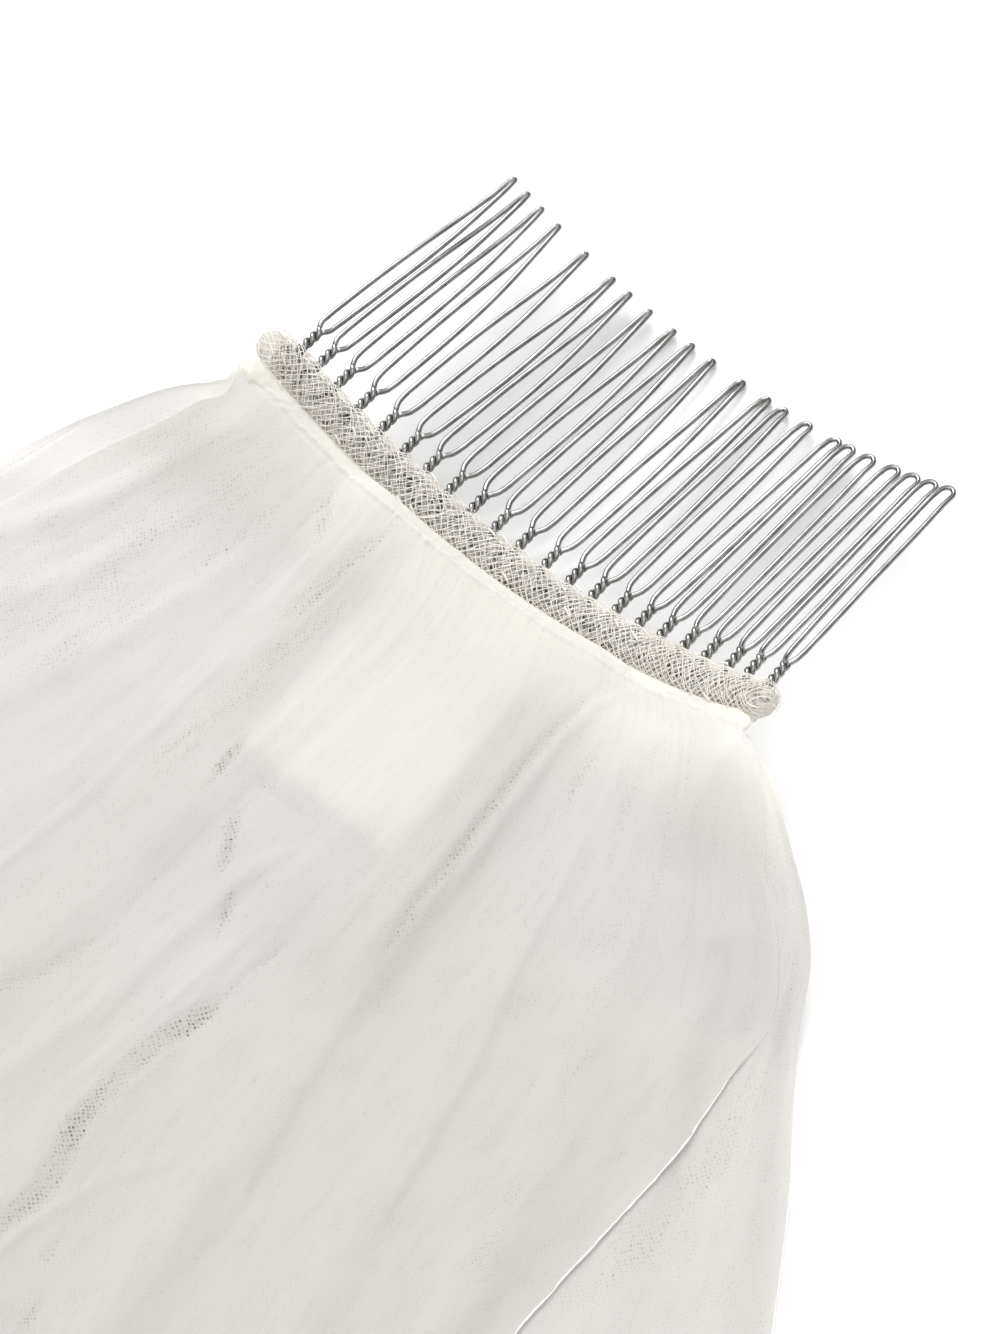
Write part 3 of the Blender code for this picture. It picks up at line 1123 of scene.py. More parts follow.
        # The strip has no painted light, painted shade or painted glow.
        marks = {"open": self.strip_open, "cream": self.strip_cream, "painted_light": 0.0, "shade": 0.0, "painted_glow_amount": 0.0}
        for name, value in marks.items():
            set_number(mesh, name, np.full(along.size, value))
        return mesh

    def build(self, thread: bpy.types.Material, net: bpy.types.Material) -> list:
        """Build the threads and the strip under them.

        Args:
            thread: Finish of the threads.
            net: Finish of the strip's inner plies.

        Returns:
            The two pieces.
        """
        meshes = []
        for ply in self.plies:
            radius = self.thread * ply.width
            for crossing in range(1 + ply.crossed):
                paths = self.ply_paths(ply, crossing)
                meshes.append(swept("wound_threads", paths, radius, self.thread_sides))
        threads = add_piece("wound_threads", joined("wound_threads", meshes))
        strip = add_piece("wound_strip", self.strip_mesh())
        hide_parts("net_wrap")
        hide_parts("net_wrap")
        dress(threads, thread)
        dress(strip, net)
        return [threads, strip]


# Rolled ridge


@dataclass
class GatheredRidge:
    """The gathered edge of the net, rolled into a soft cream cord and sewn behind the bar."""

    axes: CombAxes
    half: float = 43.2 * MM
    behind: float = -10.5 * MM
    lift: float = 0.25 * MM
    depth: float = 1.9 * MM
    height: float = 0.95 * MM
    gathers: int = 42
    stations: int = 460
    sides: int = 40
    crest_turn: float = 1.9
    crest_stray: float = 0.22
    crest_height: float = 0.06
    crest_width: float = 0.12
    crowding: float = 0.55
    lumps: float = 0.05
    end_lumps: float = 0.20
    end_swell: float = 0.06
    gather_depth: float = 0.035
    gather_stray: float = 1.4
    round_end: float = 4.0 * MM
    end_size: float = 0.05

    def surface(self, along: Array, turn: Array) -> Array:
        """Put points on the ridge's lumpy surface.

        Args:
            along: Distances along the bar.
            turn: Angles round the ridge, from the front over the top.

        Returns:
            Points in the frame.
        """
        shape = np.shape(along)
        centre, _, up = self.axes.bar(np.ravel(along))
        place, angle = np.ravel(along), np.ravel(turn)
        waver = Waver(31, 6.0 * MM)
        ends = ease(np.abs(place), self.half - 6.0 * MM, self.half - 1.0 * MM)
        lump = (self.lumps + self.end_lumps * ends) * waver.at(place, angle * 1.5 * MM)
        lump = 1.0 + lump + self.end_swell * ends
        stray = self.gather_stray * waver.at(place * 0.5, place)
        gather = np.sin(TAU * self.gathers * place / (2.0 * self.half) + stray)
        lump += self.gather_depth * gather * ease(-np.cos(angle), -0.2, 0.9)
        crest = self.crest_turn + self.crest_stray * Waver(33, 7.0 * MM).at(place, place * 0.3)
        lump += self.crest_height * np.exp(-(((angle - crest) / self.crest_width) ** 2))
        inward = np.clip((np.abs(place) - (self.half - self.round_end)) / self.round_end, 0.0, 1.0)
        size = lump * (np.sqrt(np.maximum(1.0 - inward**2, 0.0)) * (1.0 - self.end_size) + self.end_size)
        points = centre + up * (self.lift + self.height * size * np.sin(angle))[:, None]
        points[:, 1] = self.behind + self.depth * size * np.cos(angle)
        return self.axes.origin() + points.reshape(*shape, 3)

    def build(self, rolled: bpy.types.Material) -> bpy.types.Object:
        """Build the ridge.

        Args:
            rolled: Finish of the rolled net.

        Returns:
            The piece.
        """
        turns = np.linspace(0.0, TAU, self.sides + 1)[:-1]
        turns = turns - self.crowding * np.sin(turns - self.crest_turn)
        grids = np.meshgrid(np.linspace(-self.half, self.half, self.stations), turns, indexing="ij")
        points = self.surface(*grids)
        number = np.arange(points.shape[0] * self.sides).reshape(-1, self.sides)
        after = np.roll(number, -1, axis=1)
        quads = np.stack([number[:-1], after[:-1], after[1:], number[1:]], axis=-1).reshape(-1, 4)
        caps = [number[0, ::-1].tolist(), number[-1].tolist()]
        mesh = bpy.data.meshes.new("rolled_ridge")
        mesh.from_pydata(points.reshape(-1, 3), [], quads.tolist() + caps)
        ridge = add_piece("rolled_ridge", mesh)
        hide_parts("seam_ridge")
        dress(ridge, rolled)
        return ridge


# Tiers


@dataclass(frozen=True)
class Crease:
    """A ridge or a trough that runs through the net near the comb.

    Args:
        path: Its line, as (across, along) in millimetres from the forks' middle.
        half_width: Half its width, in millimetres.
        height: How high it stands, or how deep it lies if negative, in millimetres.
        shade: How much painted shade darkens its open meshes.
        crisp: 1 for a soft edge on both sides, more for an abrupt one.
    """

    path: tuple
    half_width: float
    height: float
    shade: float = 0.0
    crisp: float = 1.0

    def share(self, across: Array, along: Array) -> Array:
        """Say how strongly the crease reaches each place.

        Args:
            across: Distances across the comb.
            along: Distances along the teeth, negative behind them.

        Returns:
            1 on its line and 0 beyond its width, fading at both ends.
        """
        points = np.array(self.path) * MM
        steps = np.linalg.norm(np.diff(points, axis=0), axis=1)
        run = np.concatenate([[0.0], np.cumsum(steps)])
        nearest = np.full(across.shape, 1e9)
        where = np.zeros(across.shape)
        for number, step in enumerate(steps):
            start, end = points[number], points[number + 1]
            way = (end - start) / step
            ahead = np.clip((across - start[0]) * way[0] + (along - start[1]) * way[1], 0.0, step)
            away = np.hypot(across - start[0] - ahead * way[0], along - start[1] - ahead * way[1])
            closer = away < nearest
            nearest = np.where(closer, away, nearest)
            where = np.where(closer, run[number] + ahead, where)
        fade = min(6.0 * MM, 0.35 * run[-1])
        ends = ease(where, 0.0, fade) * ease(run[-1] - where, 0.0, fade)
        width = self.half_width * MM * (0.45 + 0.55 * ends)
        bump = np.cos(0.5 * math.pi * np.clip(nearest / width, 0.0, 1.0)) ** 2
        return bump ** (1.0 / self.crisp) * (0.25 + 0.75 * ends)


@dataclass(frozen=True)
class SideLie:
    """How far a side of the cloth lies outside its even fan.

    Args:
        points: Pairs of (distance from the seam, how far out the side lies), in millimetres.
    """

    points: tuple

    def at(self, run: Array) -> Array:
        """Read it at distances from the seam."""
        runs, outward = np.array(self.points, float).T * MM
        return smooth_through(runs, outward, run)


@dataclass
class Fan:
    """The form that both tiers share: a fan gathered at the comb, with long soft folds.

    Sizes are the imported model's own, so each tier lies in its own solid.
    """

    axes: CombAxes
    seam_y: float = -11.8 * MM
    upper_length: float = 500.0 * MM
    lower_length: float = 650.0 * MM
    upper_seam_half: float = 38.0 * MM
    upper_shoulder: float = 25.0 * MM
    upper_shoulder_run: float = 12.0 * MM
    lower_seam_half: float = 40.0 * MM
    lower_shoulder: float = 12.0 * MM
    lower_shoulder_run: float = 5.0 * MM
    fan_slope: float = 0.62
    fan_start: float = 90.0 * MM
    fan_ease: float = 25.0 * MM
    lean_run: float = 8.0 * MM
    hem_curve: float = 0.14
    corner_round: float = 0.10
    corner_power: float = 6.0
    side_corner_round: float = 0.90
    side_share: float = 28.0 / 34.0
    spread_near: float = 2.5
    spread_far: float = 1.1
    spread_run: float = 120.0 * MM
    fall_run: float = 34.0 * MM
    cloth: float = 1.0 * MM
    cloth_at_seam: float = 1.4 * MM
    clearance: float = 0.3 * MM
    label_room: float = 1.7 * MM
    label_lean: float = 3.0 / 34.0
    fold_growth: float = 1.6
    upper_folds: tuple = (
        # place across, half width, height by the comb, height at the hem
        (-0.92, 0.080, 0.0007, 0.009), (-0.76, 0.075, 0.0011, 0.013), (-0.60, 0.070, 0.0006, 0.008),
        (-0.45, 0.075, 0.0016, 0.012), (-0.26, 0.085, 0.0006, 0.010), (-0.08, 0.080, 0.0008, 0.014),
        (0.11, 0.085, 0.0006, 0.008), (0.28, 0.075, 0.0012, 0.012), (0.45, 0.080, 0.0008, 0.009),
        (0.62, 0.075, 0.0013, 0.013), (0.79, 0.080, 0.0007, 0.010), (0.94, 0.060, 0.0009, 0.007),
    )
    lower_folds: tuple = (
        # place across, half width, height by the comb, height at the hem
        (-0.93, 0.060, 0.0003, 0.006), (-0.80, 0.055, 0.0005, 0.011), (-0.65, 0.055, 0.0003, 0.008),
        (-0.49, 0.060, 0.0003, 0.011), (-0.31, 0.055, 0.0002, 0.008), (-0.14, 0.060, 0.0002, 0.011),
        (0.07, 0.055, 0.0002, 0.009), (0.24, 0.060, 0.0002, 0.012), (0.43, 0.055, 0.0003, 0.008),
        (0.60, 0.060, 0.0003, 0.011), (0.76, 0.055, 0.0004, 0.009), (0.92, 0.060, 0.0005, 0.007),
    )

    def upper_half(self, run: Array) -> Array:
        """Give half the upper tier's width at a distance from the seam.

        Args:
            run: Distances from the seam.

        Returns:
            Half the width at each.
        """
        shoulder = self.upper_shoulder * (1.0 - np.exp(-run / self.upper_shoulder_run))
        fan = self.fan_slope * self.fan_ease * np.log1p(np.exp((run - self.fan_start) / self.fan_ease))
        return self.upper_seam_half + shoulder + fan

    def lower_half(self, run: Array) -> Array:
        """Give half the lower tier's width at a distance from the seam."""
        shoulder = self.lower_shoulder * (1.0 - np.exp(-run / self.lower_shoulder_run))
        return self.lower_seam_half + shoulder + self.fan_slope * run

    def lean(self, run: Array) -> Array:
        """Give how far the fan lies to one side at a distance from the seam."""
        return self.axes.lean * (1.0 - np.exp(-run / self.lean_run))

    def across(self, place: Array, run: Array) -> Array:
        """Give the distance across.

        Args:
            place: Share of the upper tier's half width, past 1 on the lower tier's sides.
            run: Distance from the seam.

        Returns:
            The distance across from the comb's middle.
        """
        share = np.minimum(1.0, np.abs(place))
        spread = self.spread_far + (self.spread_near - self.spread_far) * np.exp(-run / self.spread_run)
        half = self.upper_half(run)
        away = self.upper_seam_half * share + (half - self.upper_seam_half) * share**spread
        beyond = np.maximum(0.0, np.abs(place) - 1.0) * self.side_share / (1.0 - self.side_share)
        away = away + (self.lower_half(run) - half) * beyond
        return np.sign(place) * away + self.lean(run)

    def along(self, place: Array, run: Array, across: Array) -> Array:
        """Give the distance along, from the hem's curve.

        Args:
            place: As for across.
            run: Distance from the seam.
            across: The distance across.

        Returns:
            The distance along the teeth, negative behind the forks.
        """
        share = np.minimum(1.0, np.abs(place))
        length = np.minimum(run, self.upper_length) * (1.0 - self.corner_round * share**self.corner_power)
        outward = (np.abs(place) * self.side_share) ** self.corner_power
        kept = 1.0 - self.side_corner_round * outward
        length = length + np.maximum(0.0, run - self.upper_length) * kept
        swing = across / self.lower_half(np.maximum(run, 0.0))
        return self.seam_y - length * (1.0 - self.hem_curve * swing * swing)

    def folds(self, table: tuple, place: Array, run: Array, length: float) -> Array:
        """Add up a tier's long folds.

        Args:
            table: The tier's folds.
            place: Place across, as a share.
            run: Distance from the seam.
            length: The tier's length.

        Returns:
            The height that the folds add.
        """
        grown = np.clip(run / length, 0.0, 1.0) ** self.fold_growth
        height = np.zeros(np.broadcast(place, run).shape)
        for middle, width, near, far in table:
            away = np.clip(np.abs(place - middle) / width, 0.0, 1.0)
            height += (near + (far - near) * grown) * np.cos(0.5 * math.pi * away) ** 2
        return height * ease(run, 0.0, self.fall_run)

    def lower_rise(self, place: Array, run: Array) -> Array:
        """Give the height of the lower tier's underside.

        Args:
            place: Place across, as a share.
            run: Distance from the seam.

        Returns:
            The height at each point.
        """
        fall = 1.0 - ease(run, 0.0, self.fall_run)
        rise = self.axes.rise(self.across(place, np.zeros_like(run)))
        swing = (self.across(place, run) - self.lean(run)) / self.lower_half(run)
        return rise * fall + self.folds(self.lower_folds, swing, run, self.lower_length)

    def thickness(self, run: Array) -> Array:
        """Give the thickness of the solid that a tier lies in."""
        return self.cloth + (self.cloth_at_seam - self.cloth) * (1.0 - ease(run, 0.0, self.fall_run))

    def over_label(self, across: Array, along: Array) -> Array:
        """Give how far the upper tier is lifted over the label.

        Args:
            across: Distance across from the comb's middle.
            along: Distance along the teeth.

        Returns:
            The lift at each point.
        """
        run = self.seam_y - along
        aside = np.abs(across - self.label_lean * run)
        beside = 1.0 - ease(aside, 16.0 * MM, 24.0 * MM)
        return self.label_room * beside * (1.0 - ease(run, 42.0 * MM, 58.0 * MM))


class TierKind(Enum):
    """Which tier of the veil a sheet is."""

    UPPER = "upper_tier"
    LOWER = "lower_tier"


@dataclass
class VeilTier:
    """One tier of net, as a thin sheet with its folds, gathers and creases."""

    fan: Fan
    kind: TierKind
    columns: int
    rows: int
    left: SideLie
    right: SideLie
    creases: tuple
    cut: tuple
    cut_area: float
    seed: int
    # How far painted light whitens the net on each side.
    painted_light_left: float
    painted_light_right: float
    # Painted shade in the open meshes everywhere.
    shade_near: float
    start: float
    row_power: float = 1.9
    least_height: float = 0.15 * MM
    # height of the smooth sheet, by the seam and in its solid
    seam_rise: float = 1.45 * MM
    seam_gain: float = 0.35
    seam_gain_half: float = 40.0 * MM
    seam_reach: float = 41.0 * MM
    seam_fall: float = 15.0 * MM
    climb_fall: float = 18.0 * MM
    tuck: float = 0.75 * MM
    tuck_run: float = 2.0 * MM
    in_solid: float = 0.75
    over_lower: float = 0.60
    near_folds: float = 0.07
    # the crest that the gathers make along the seam
    crest_run: float = -0.9 * MM
    crest_width: float = 0.30 * MM
    crest_rise: float = 0.28 * MM
    crest_uneven: float = 0.12 * MM
    # fine gathers: widths as shares of the tier, lengths and heights in millimetres
    pleats: int = 60
    pleat_width: tuple = (0.008, 0.022)
    pleat_length: tuple = (14.0, 80.0)
    pleat_rise: tuple = (0.015, 0.06)
    pleat_lean: float = 0.06
    wrinkle_long: float = 0.09 * MM
    wrinkle_fine: float = 0.025 * MM
    wrinkle_growth: float = 8.0
    relief: float = 0.26
    # the weave, and how far it opens
    cell: float = 0.48 * MM
    weave_turn: float = math.radians(38.0)
    weave_bend: float = 5.0
    streaks: float = 46.0
    streak_length: float = 9.0 * MM
    gathered: float = 12.0 * MM
    open_near: float = 0.035
    open_far: float = 0.60
    open_side: float = 0.12
    # where painted light whitens the net, and where a painted glow brightens it
    label_run: Stretch = Stretch(1.0 * MM, 6.0 * MM, 28.0 * MM, 36.0 * MM)
    below_label: Stretch = Stretch(30.0 * MM, 40.0 * MM, 55.0 * MM, 85.0 * MM)
    painted_light_label: float = 0.34
    painted_light_below: float = 0.50
    right_slope: Stretch = Stretch(0.0, 4.0 * MM, 7.0 * MM, 20.0 * MM)
    left_slope: Stretch = Stretch(2.0 * MM, 9.0 * MM, 18.0 * MM, 42.0 * MM)
    # Strength of the painted glow by the seam, at its least, on the right and left slopes and along the
    # crest.
    painted_glow_seam: float = 0.50
    painted_glow_least: float = 0.22
    painted_glow_right: float = 0.90
    painted_glow_left: float = 0.42
    painted_glow_crest: float = 0.40
    edges: dict = field(default_factory=dict)

    @property
    def length(self) -> float:
        """The tier's length."""
        return self.fan.upper_length if self.kind is TierKind.UPPER else self.fan.lower_length

    @property
    def widest(self) -> float:
        """The tier's half width, as a share of the upper tier's."""
        return 1.0 if self.kind is TierKind.UPPER else 1.0 / self.fan.side_share

    def grids(self) -> tuple:
        """Lay out the sheet's rows and columns.

        Returns:
            Place across and distance from the seam, one value for each point.
        """
        place = np.linspace(-1.0, 1.0, self.columns) * self.widest
        share = np.linspace(0.0, 1.0, self.rows)
        run = self.start + (self.length - self.start) * share**self.row_power
        run, place = np.meshgrid(run, place, indexing="ij")
        return place, run

    def lie(self, place: Array, run: Array) -> tuple:
        """Work out where the cloth lies, seen from above.

        Args:
            place: Place across, as a share.
            run: Distance from the seam.

        Returns:
            Distances across and along, from the forks' middle.
        """
        ahead = np.maximum(run, 0.0)
        across = self.fan.across(place, ahead)
        along = self.fan.along(place, ahead, across) - np.minimum(run, 0.0)
        share = np.abs(place) / self.widest
        tucked = ease(-run, 0.0, self.tuck_run)
        side = np.where(place > 0, self.right.at(ahead), -self.left.at(ahead)) * (1.0 - tucked)
        return across * (1.0 - 0.03 * tucked) + side * share**4, along

    def pleat_height(self, place: Array, run: Array) -> Array:
        """Add up the fine gathers that run out from the seam.

        Args:
            place: Place across, as a share.
            run: Distance from the seam.

        Returns:
            The height that they add.
        """
        draw = np.random.default_rng(self.seed)
        height = np.zeros(place.shape)
        for _ in range(self.pleats):
            middle = draw.uniform(-1.0, 1.0) * self.widest
            width = draw.uniform(*self.pleat_width)
            end = draw.uniform(*self.pleat_length) * MM
            lean = draw.normal(0.0, self.pleat_lean)
            rise = draw.uniform(*self.pleat_rise) * MM * draw.choice((-1.0, 1.0), p=(0.4, 0.6))
            reach = np.clip(run / end, 0.0, 1.0)
            centre = middle + lean * reach
            away = np.clip(np.abs(place - centre) / (width * (0.7 + 1.3 * reach)), 0.0, 1.0)
            height += rise * np.cos(0.5 * math.pi * away) ** 2 * (1.0 - ease(reach, 0.35, 1.0))
        return height

    def wrinkle_height(self, place: Array, run: Array) -> Array:
        """Add the slight unevenness of net that lies loose, stretched along the folds.

        Args:
            place: Place across, as a share.
            run: Distance from the seam.

        Returns:
            The height that it adds.
        """
        spread = Waver(self.seed + 5, 0.30, 4).at(place, run * 0.9)
        fine = Waver(self.seed + 6, 0.11, 3).at(place, run * 0.7)
        grown = ease(run, 0.0, 60.0 * MM) * (1.0 + self.wrinkle_growth * ease(run, 100.0 * MM, 500.0 * MM))
        return (self.wrinkle_long * spread + self.wrinkle_fine * fine) * grown

    def height(self, place: Array, run: Array, across: Array, along: Array) -> Array:
        """Give the height of the smooth sheet inside its solid.

        Args:
            place: Place across, as a share.
            run: Distance from the seam.
            across: Distance across from the comb's middle.
            along: Distance along the teeth.

        Returns:
            Heights over the surface that the veil lies on.
        """
        fan = self.fan
        ahead = np.maximum(run, 0.0)
        thick = fan.thickness(ahead)
        border = ease(np.abs(place) / self.widest, 0.88, 0.99)
        folded = self.near_folds + (1.0 - self.near_folds) * ease(ahead, 90.0 * MM, 300.0 * MM)
        height = fan.lower_rise(place, ahead) + thick * (self.in_solid + (1.0 - self.in_solid) * border)
        if self.kind is TierKind.UPPER:
            height += thick * self.over_lower * (1.0 - border) + fan.clearance * (1.0 - 0.5 * border)
            height += fan.over_label(across, along)
            height += folded * fan.folds(fan.upper_folds, place, ahead, fan.upper_length)
            gain = 1.0 + self.seam_gain * (across / self.seam_gain_half) ** 2
            height += self.seam_rise * gain * (1.0 - ease(run, -0.4 * MM, self.seam_fall))
            height -= self.tuck * ease(-run, 0.5 * MM, -self.start)
            height += self.crest_height(place, run)
        climb = fan.axes.rise(np.clip(across, -self.seam_reach, self.seam_reach))
        climb = np.maximum(climb - fan.axes.rise(fan.across(place, np.zeros_like(run))), 0.0)
        height += climb * (1.0 - ease(run, 0.0, self.climb_fall))
        return height

    def crest_height(self, place: Array, run: Array) -> Array:
        """Give the height of the fine crest that the gathers make along the seam.

        Args:
            place: Place across, as a share.
            run: Distance from the seam.

        Returns:
            The height that it adds.
        """
        middle = self.crest_run + 0.3 * MM * Waver(self.seed + 7, 0.09, 4).at(place, place * 0.4)
        crest = np.exp(-(((run - middle) / self.crest_width) ** 2))
        uneven = self.crest_uneven * Waver(self.seed + 8, 0.05, 3).at(place, place)
        return crest * (self.crest_rise + uneven)

    def creasing(self, place: Array, run: Array, across: Array, along: Array) -> tuple:
        """Add up every crease, gather and wrinkle.

        Args:
            place: Place across, as a share.
            run: Distance from the seam.
            across: Distance across from the comb's middle.
            along: Distance along the teeth.

        Returns:
            The height they add, and the painted shade of the meshes in them.
        """
        ahead = np.maximum(run, 0.0)
        border = ease(np.abs(place) / self.widest, 0.86, 0.99)
        detail = self.pleat_height(place, ahead) + self.wrinkle_height(place, ahead)
        shade = np.full(place.shape, self.shade_near)
        for crease in self.creases:
            share = crease.share(across, along)
            detail += share * crease.height * self.relief * MM
            shade += share * crease.shade
        return detail * (1.0 - 0.8 * border), np.clip(shade, 0.0, 1.0)

    def build(self, net: bpy.types.Material) -> bpy.types.Object:
        """Build the sheet, with what its finish reads from each point.

        Args:
            net: The net's finish.

        Returns:
            The piece.
        """
        place, run = self.grids()
        across, along = self.lie(place, run)
        detail, shade = self.creasing(place, run, across, along)
        height = np.maximum(self.height(place, run, across, along) + detail, self.least_height)
        points = np.stack([across, along, height], axis=-1) + self.fan.axes.origin()
        mesh = grid_mesh(self.kind.value, points)
        self._paint(mesh, place, run, (across, along), shade)
        piece = add_piece(self.kind.value + "_net", mesh)
        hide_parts(self.kind.value)
        dress(piece, net)
        self.edges = {"left": points[:, 0], "right": points[:, -1], "hem": points[-1]}
        return piece

    def label_under(self, across: Array, along: Array) -> Array:
        """Say where the label lies under the net, from 0 to 1.

        Args:
            across: Distance across from the comb's middle.
            along: Distance along the teeth.

        Returns:
            How far it lies under each point.
        """
        run = self.fan.seam_y - along
        aside = np.abs(across - self.fan.label_lean * run)
        return (1.0 - ease(aside, 9.0 * MM, 14.5 * MM)) * self.label_run.at(run)

    def painted_light_amount(self, place: Array, ahead: Array, over: Array) -> Array:
        """Say how far painted light whitens the net: over the label, on its sides and below the label on
        the upper tier, and where the lower tier shows beyond the upper one.

        Args:
            place: Place across, as a share.
            ahead: Distance from the seam.
            over: Where the label lies under it.

        Returns:
            How far it whitens, from 0 to about 1.
        """
        if self.kind is TierKind.UPPER:
            left = ease(-place, 0.15, 0.80) * (1.0 - ease(ahead, 70.0 * MM, 170.0 * MM))
            right = ease(place, 0.25, 0.70) * (1.0 - ease(ahead, 16.0 * MM, 45.0 * MM))
            below = self.below_label.at(ahead) * (1.0 - ease(np.abs(place), 0.10, 0.45))
            sides = self.painted_light_left * left + self.painted_light_right * right
            return self.painted_light_label * over + sides + self.painted_light_below * below
        return np.where(place < 0.0, self.painted_light_left, self.painted_light_right) * self.beyond_upper(place, ahead)

    def beyond_upper(self, place: Array, ahead: Array) -> Array:
        """Say where the lower tier shows beyond the upper one, from 0 to 1."""
        return ease(np.abs(place) / self.widest, 0.72, 0.80) * ease(ahead, 0.0, 10.0 * MM)

    def painted_glow_map(self, place: Array, run: Array, painted_light: Array) -> Array:
        """Say how strongly a painted glow brightens the net by the seam, on the slopes to each side and
        along the crest.

        Args:
            place: Place across, as a share.
            run: Distance from the seam.
            painted_light: How far the net whitens.

        Returns:
            The painted glow, with 1 as the finish's full glow.
        """
        ahead = np.maximum(run, 0.0)
        seam = np.maximum(painted_light * (ahead <= 0.0), self.painted_glow_seam * (1.0 - ease(ahead, 0.0, self.gathered)))
        seam = seam * (self.painted_glow_least + (1.0 - self.painted_glow_least) * ease(-place, -0.05, 0.75))
        right = self.painted_glow_right * self.right_slope.at(ahead) * ease(place, 0.15, 0.75)
        left = self.painted_glow_left * self.left_slope.at(ahead) * ease(-place, 0.20, 0.75)
        crest = self.painted_glow_crest * np.exp(-(((run - self.crest_run) / (0.5 * MM)) ** 2))
        return seam + right + left + crest

    def weave_place(self, across: Array, along: Array) -> Array:
        """Count meshes along both sets of the net's threads, which wander a little.

        Args:
            across: Distance across from the comb's middle.
            along: Distance along the teeth.

        Returns:
            One row of three numbers for each point.
        """
        cosine, sine = math.cos(self.weave_turn), math.sin(self.weave_turn)
        bend = Waver(self.seed + 11, 90.0 * MM, 2)
        first = (across * cosine - along * sine) / self.cell
        first = first + self.weave_bend * bend.at(across, along)
        second = (across * sine + along * cosine) / self.cell
        second = second + self.weave_bend * bend.at(along, across)
        return np.stack([first.ravel(), second.ravel(), np.zeros(first.size)], axis=1)

    def _paint(self, mesh: bpy.types.Mesh, place: Array, run: Array, lie: tuple, shade: Array) -> None:
        """Store what the net's finish reads at each point.

        Args:
            mesh: The sheet.
            place: Place across, as a share.
            run: Distance from the seam.
            lie: Distances across and along.
            shade: Painted shade for the open meshes.
        """
        ahead = np.maximum(run, 0.0)
        opened = self.open_near + (self.open_far - self.open_near) * ease(ahead, 60.0 * MM, 420.0 * MM)
        opened = opened * (0.25 + 0.75 * ease(ahead, 1.0 * MM, self.gathered))
        over = self.label_under(*lie) if self.kind is TierKind.UPPER else np.zeros(place.shape)
        # Painted highlight along the seam's crest, with painted light elsewhere.
        crest = np.exp(-(((run - self.crest_run) / (0.6 * MM)) ** 2))
        painted_light = np.maximum(crest, self.painted_light_amount(place, ahead, over))
        if self.kind is TierKind.LOWER:
            opened = np.maximum(opened, self.open_side * self.beyond_upper(place, ahead))
        # What the finish reads: openness, painted shade, the cream tint of the gathers, painted light and
        # painted glow.
        marks = {
            "open": opened * (1.0 - 0.6 * over),
            "shade": shade * (1.0 - 0.9 * over),
            "cream": 1.0 - ease(ahead, 0.0, self.gathered),
            "painted_light": painted_light,
            "painted_glow_amount": self.painted_glow_map(place, run, painted_light),
        }
        for name, values in marks.items():
            set_number(mesh, name, values.ravel())
        folds = np.stack([place * self.streaks, ahead / self.streak_length, 0.0 * ahead], axis=-1)
        set_place(mesh, "weave", self.weave_place(*lie))
        set_place(mesh, "fold", folds.reshape(-1, 3))


@dataclass
class CordedEdge:
    """A fine cord overcast along a tier's two sides and its hem."""

    tier: VeilTier
    radius: float = 0.12 * MM
    least: float = 0.02 * MM
    step: float = 1.1 * MM
    wave: float = 0.12 * MM
    outward: float = 0.08 * MM
    below: float = 0.06 * MM
    over_table: float = 0.02 * MM
    left_share: float = 0.45
    fine_until: float = 42.0 * MM
    full_from: float = 64.0 * MM
    uneven: float = 0.28
    sides: int = 6

    def build(self, thread: bpy.types.Material) -> bpy.types.Object:
        """Build the cord round the tier's edge.

        Args:
            thread: The cord's finish.

        Returns:
            The piece.
        """
        edges = self.tier.edges
        line = np.concatenate([edges["left"][:-1], edges["hem"], edges["right"][-2::-1]])
        run = np.concatenate([[0.0], np.cumsum(np.linalg.norm(np.diff(line, axis=0), axis=1))])
        count = int(run[-1] / self.step)
        even = np.linspace(0.0, run[-1], count)
        path = np.stack([np.interp(even, run, line[:, axis]) for axis in range(3)], axis=1)
        waver = Waver(self.tier.seed + 21, 6.0 * MM, 3)
        path[:, 0] += self.wave * waver.at(even, even * 0.2)
        path[:, 1] += self.wave * waver.at(even * 0.2, even)
        path[:, 2] = np.maximum(path[:, 2] - self.below, self.radius + self.over_table)
        way = np.gradient(path[:, :2], axis=0)
        way = way / np.linalg.norm(way, axis=1, keepdims=True)
        path[:, :2] += self.outward * np.stack([way[:, 1], -way[:, 0]], axis=1)
        draw = np.random.default_rng(self.tier.seed)
        near = np.minimum(even, run[-1] - even)
        near = np.where(even < 0.5 * run[-1], self.left_share * near, near)
        radius = self.least + (self.radius - self.least) * ease(near, self.fine_until, self.full_from)
        radius = radius * (1.0 + draw.uniform(-self.uneven, self.uneven, count))
        name = self.tier.kind.value + "_cord"
        piece = add_piece(name, swept(name, path[None], radius[None], self.sides))
        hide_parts(self.tier.kind.value)
        dress(piece, thread)
        return piece


# Label


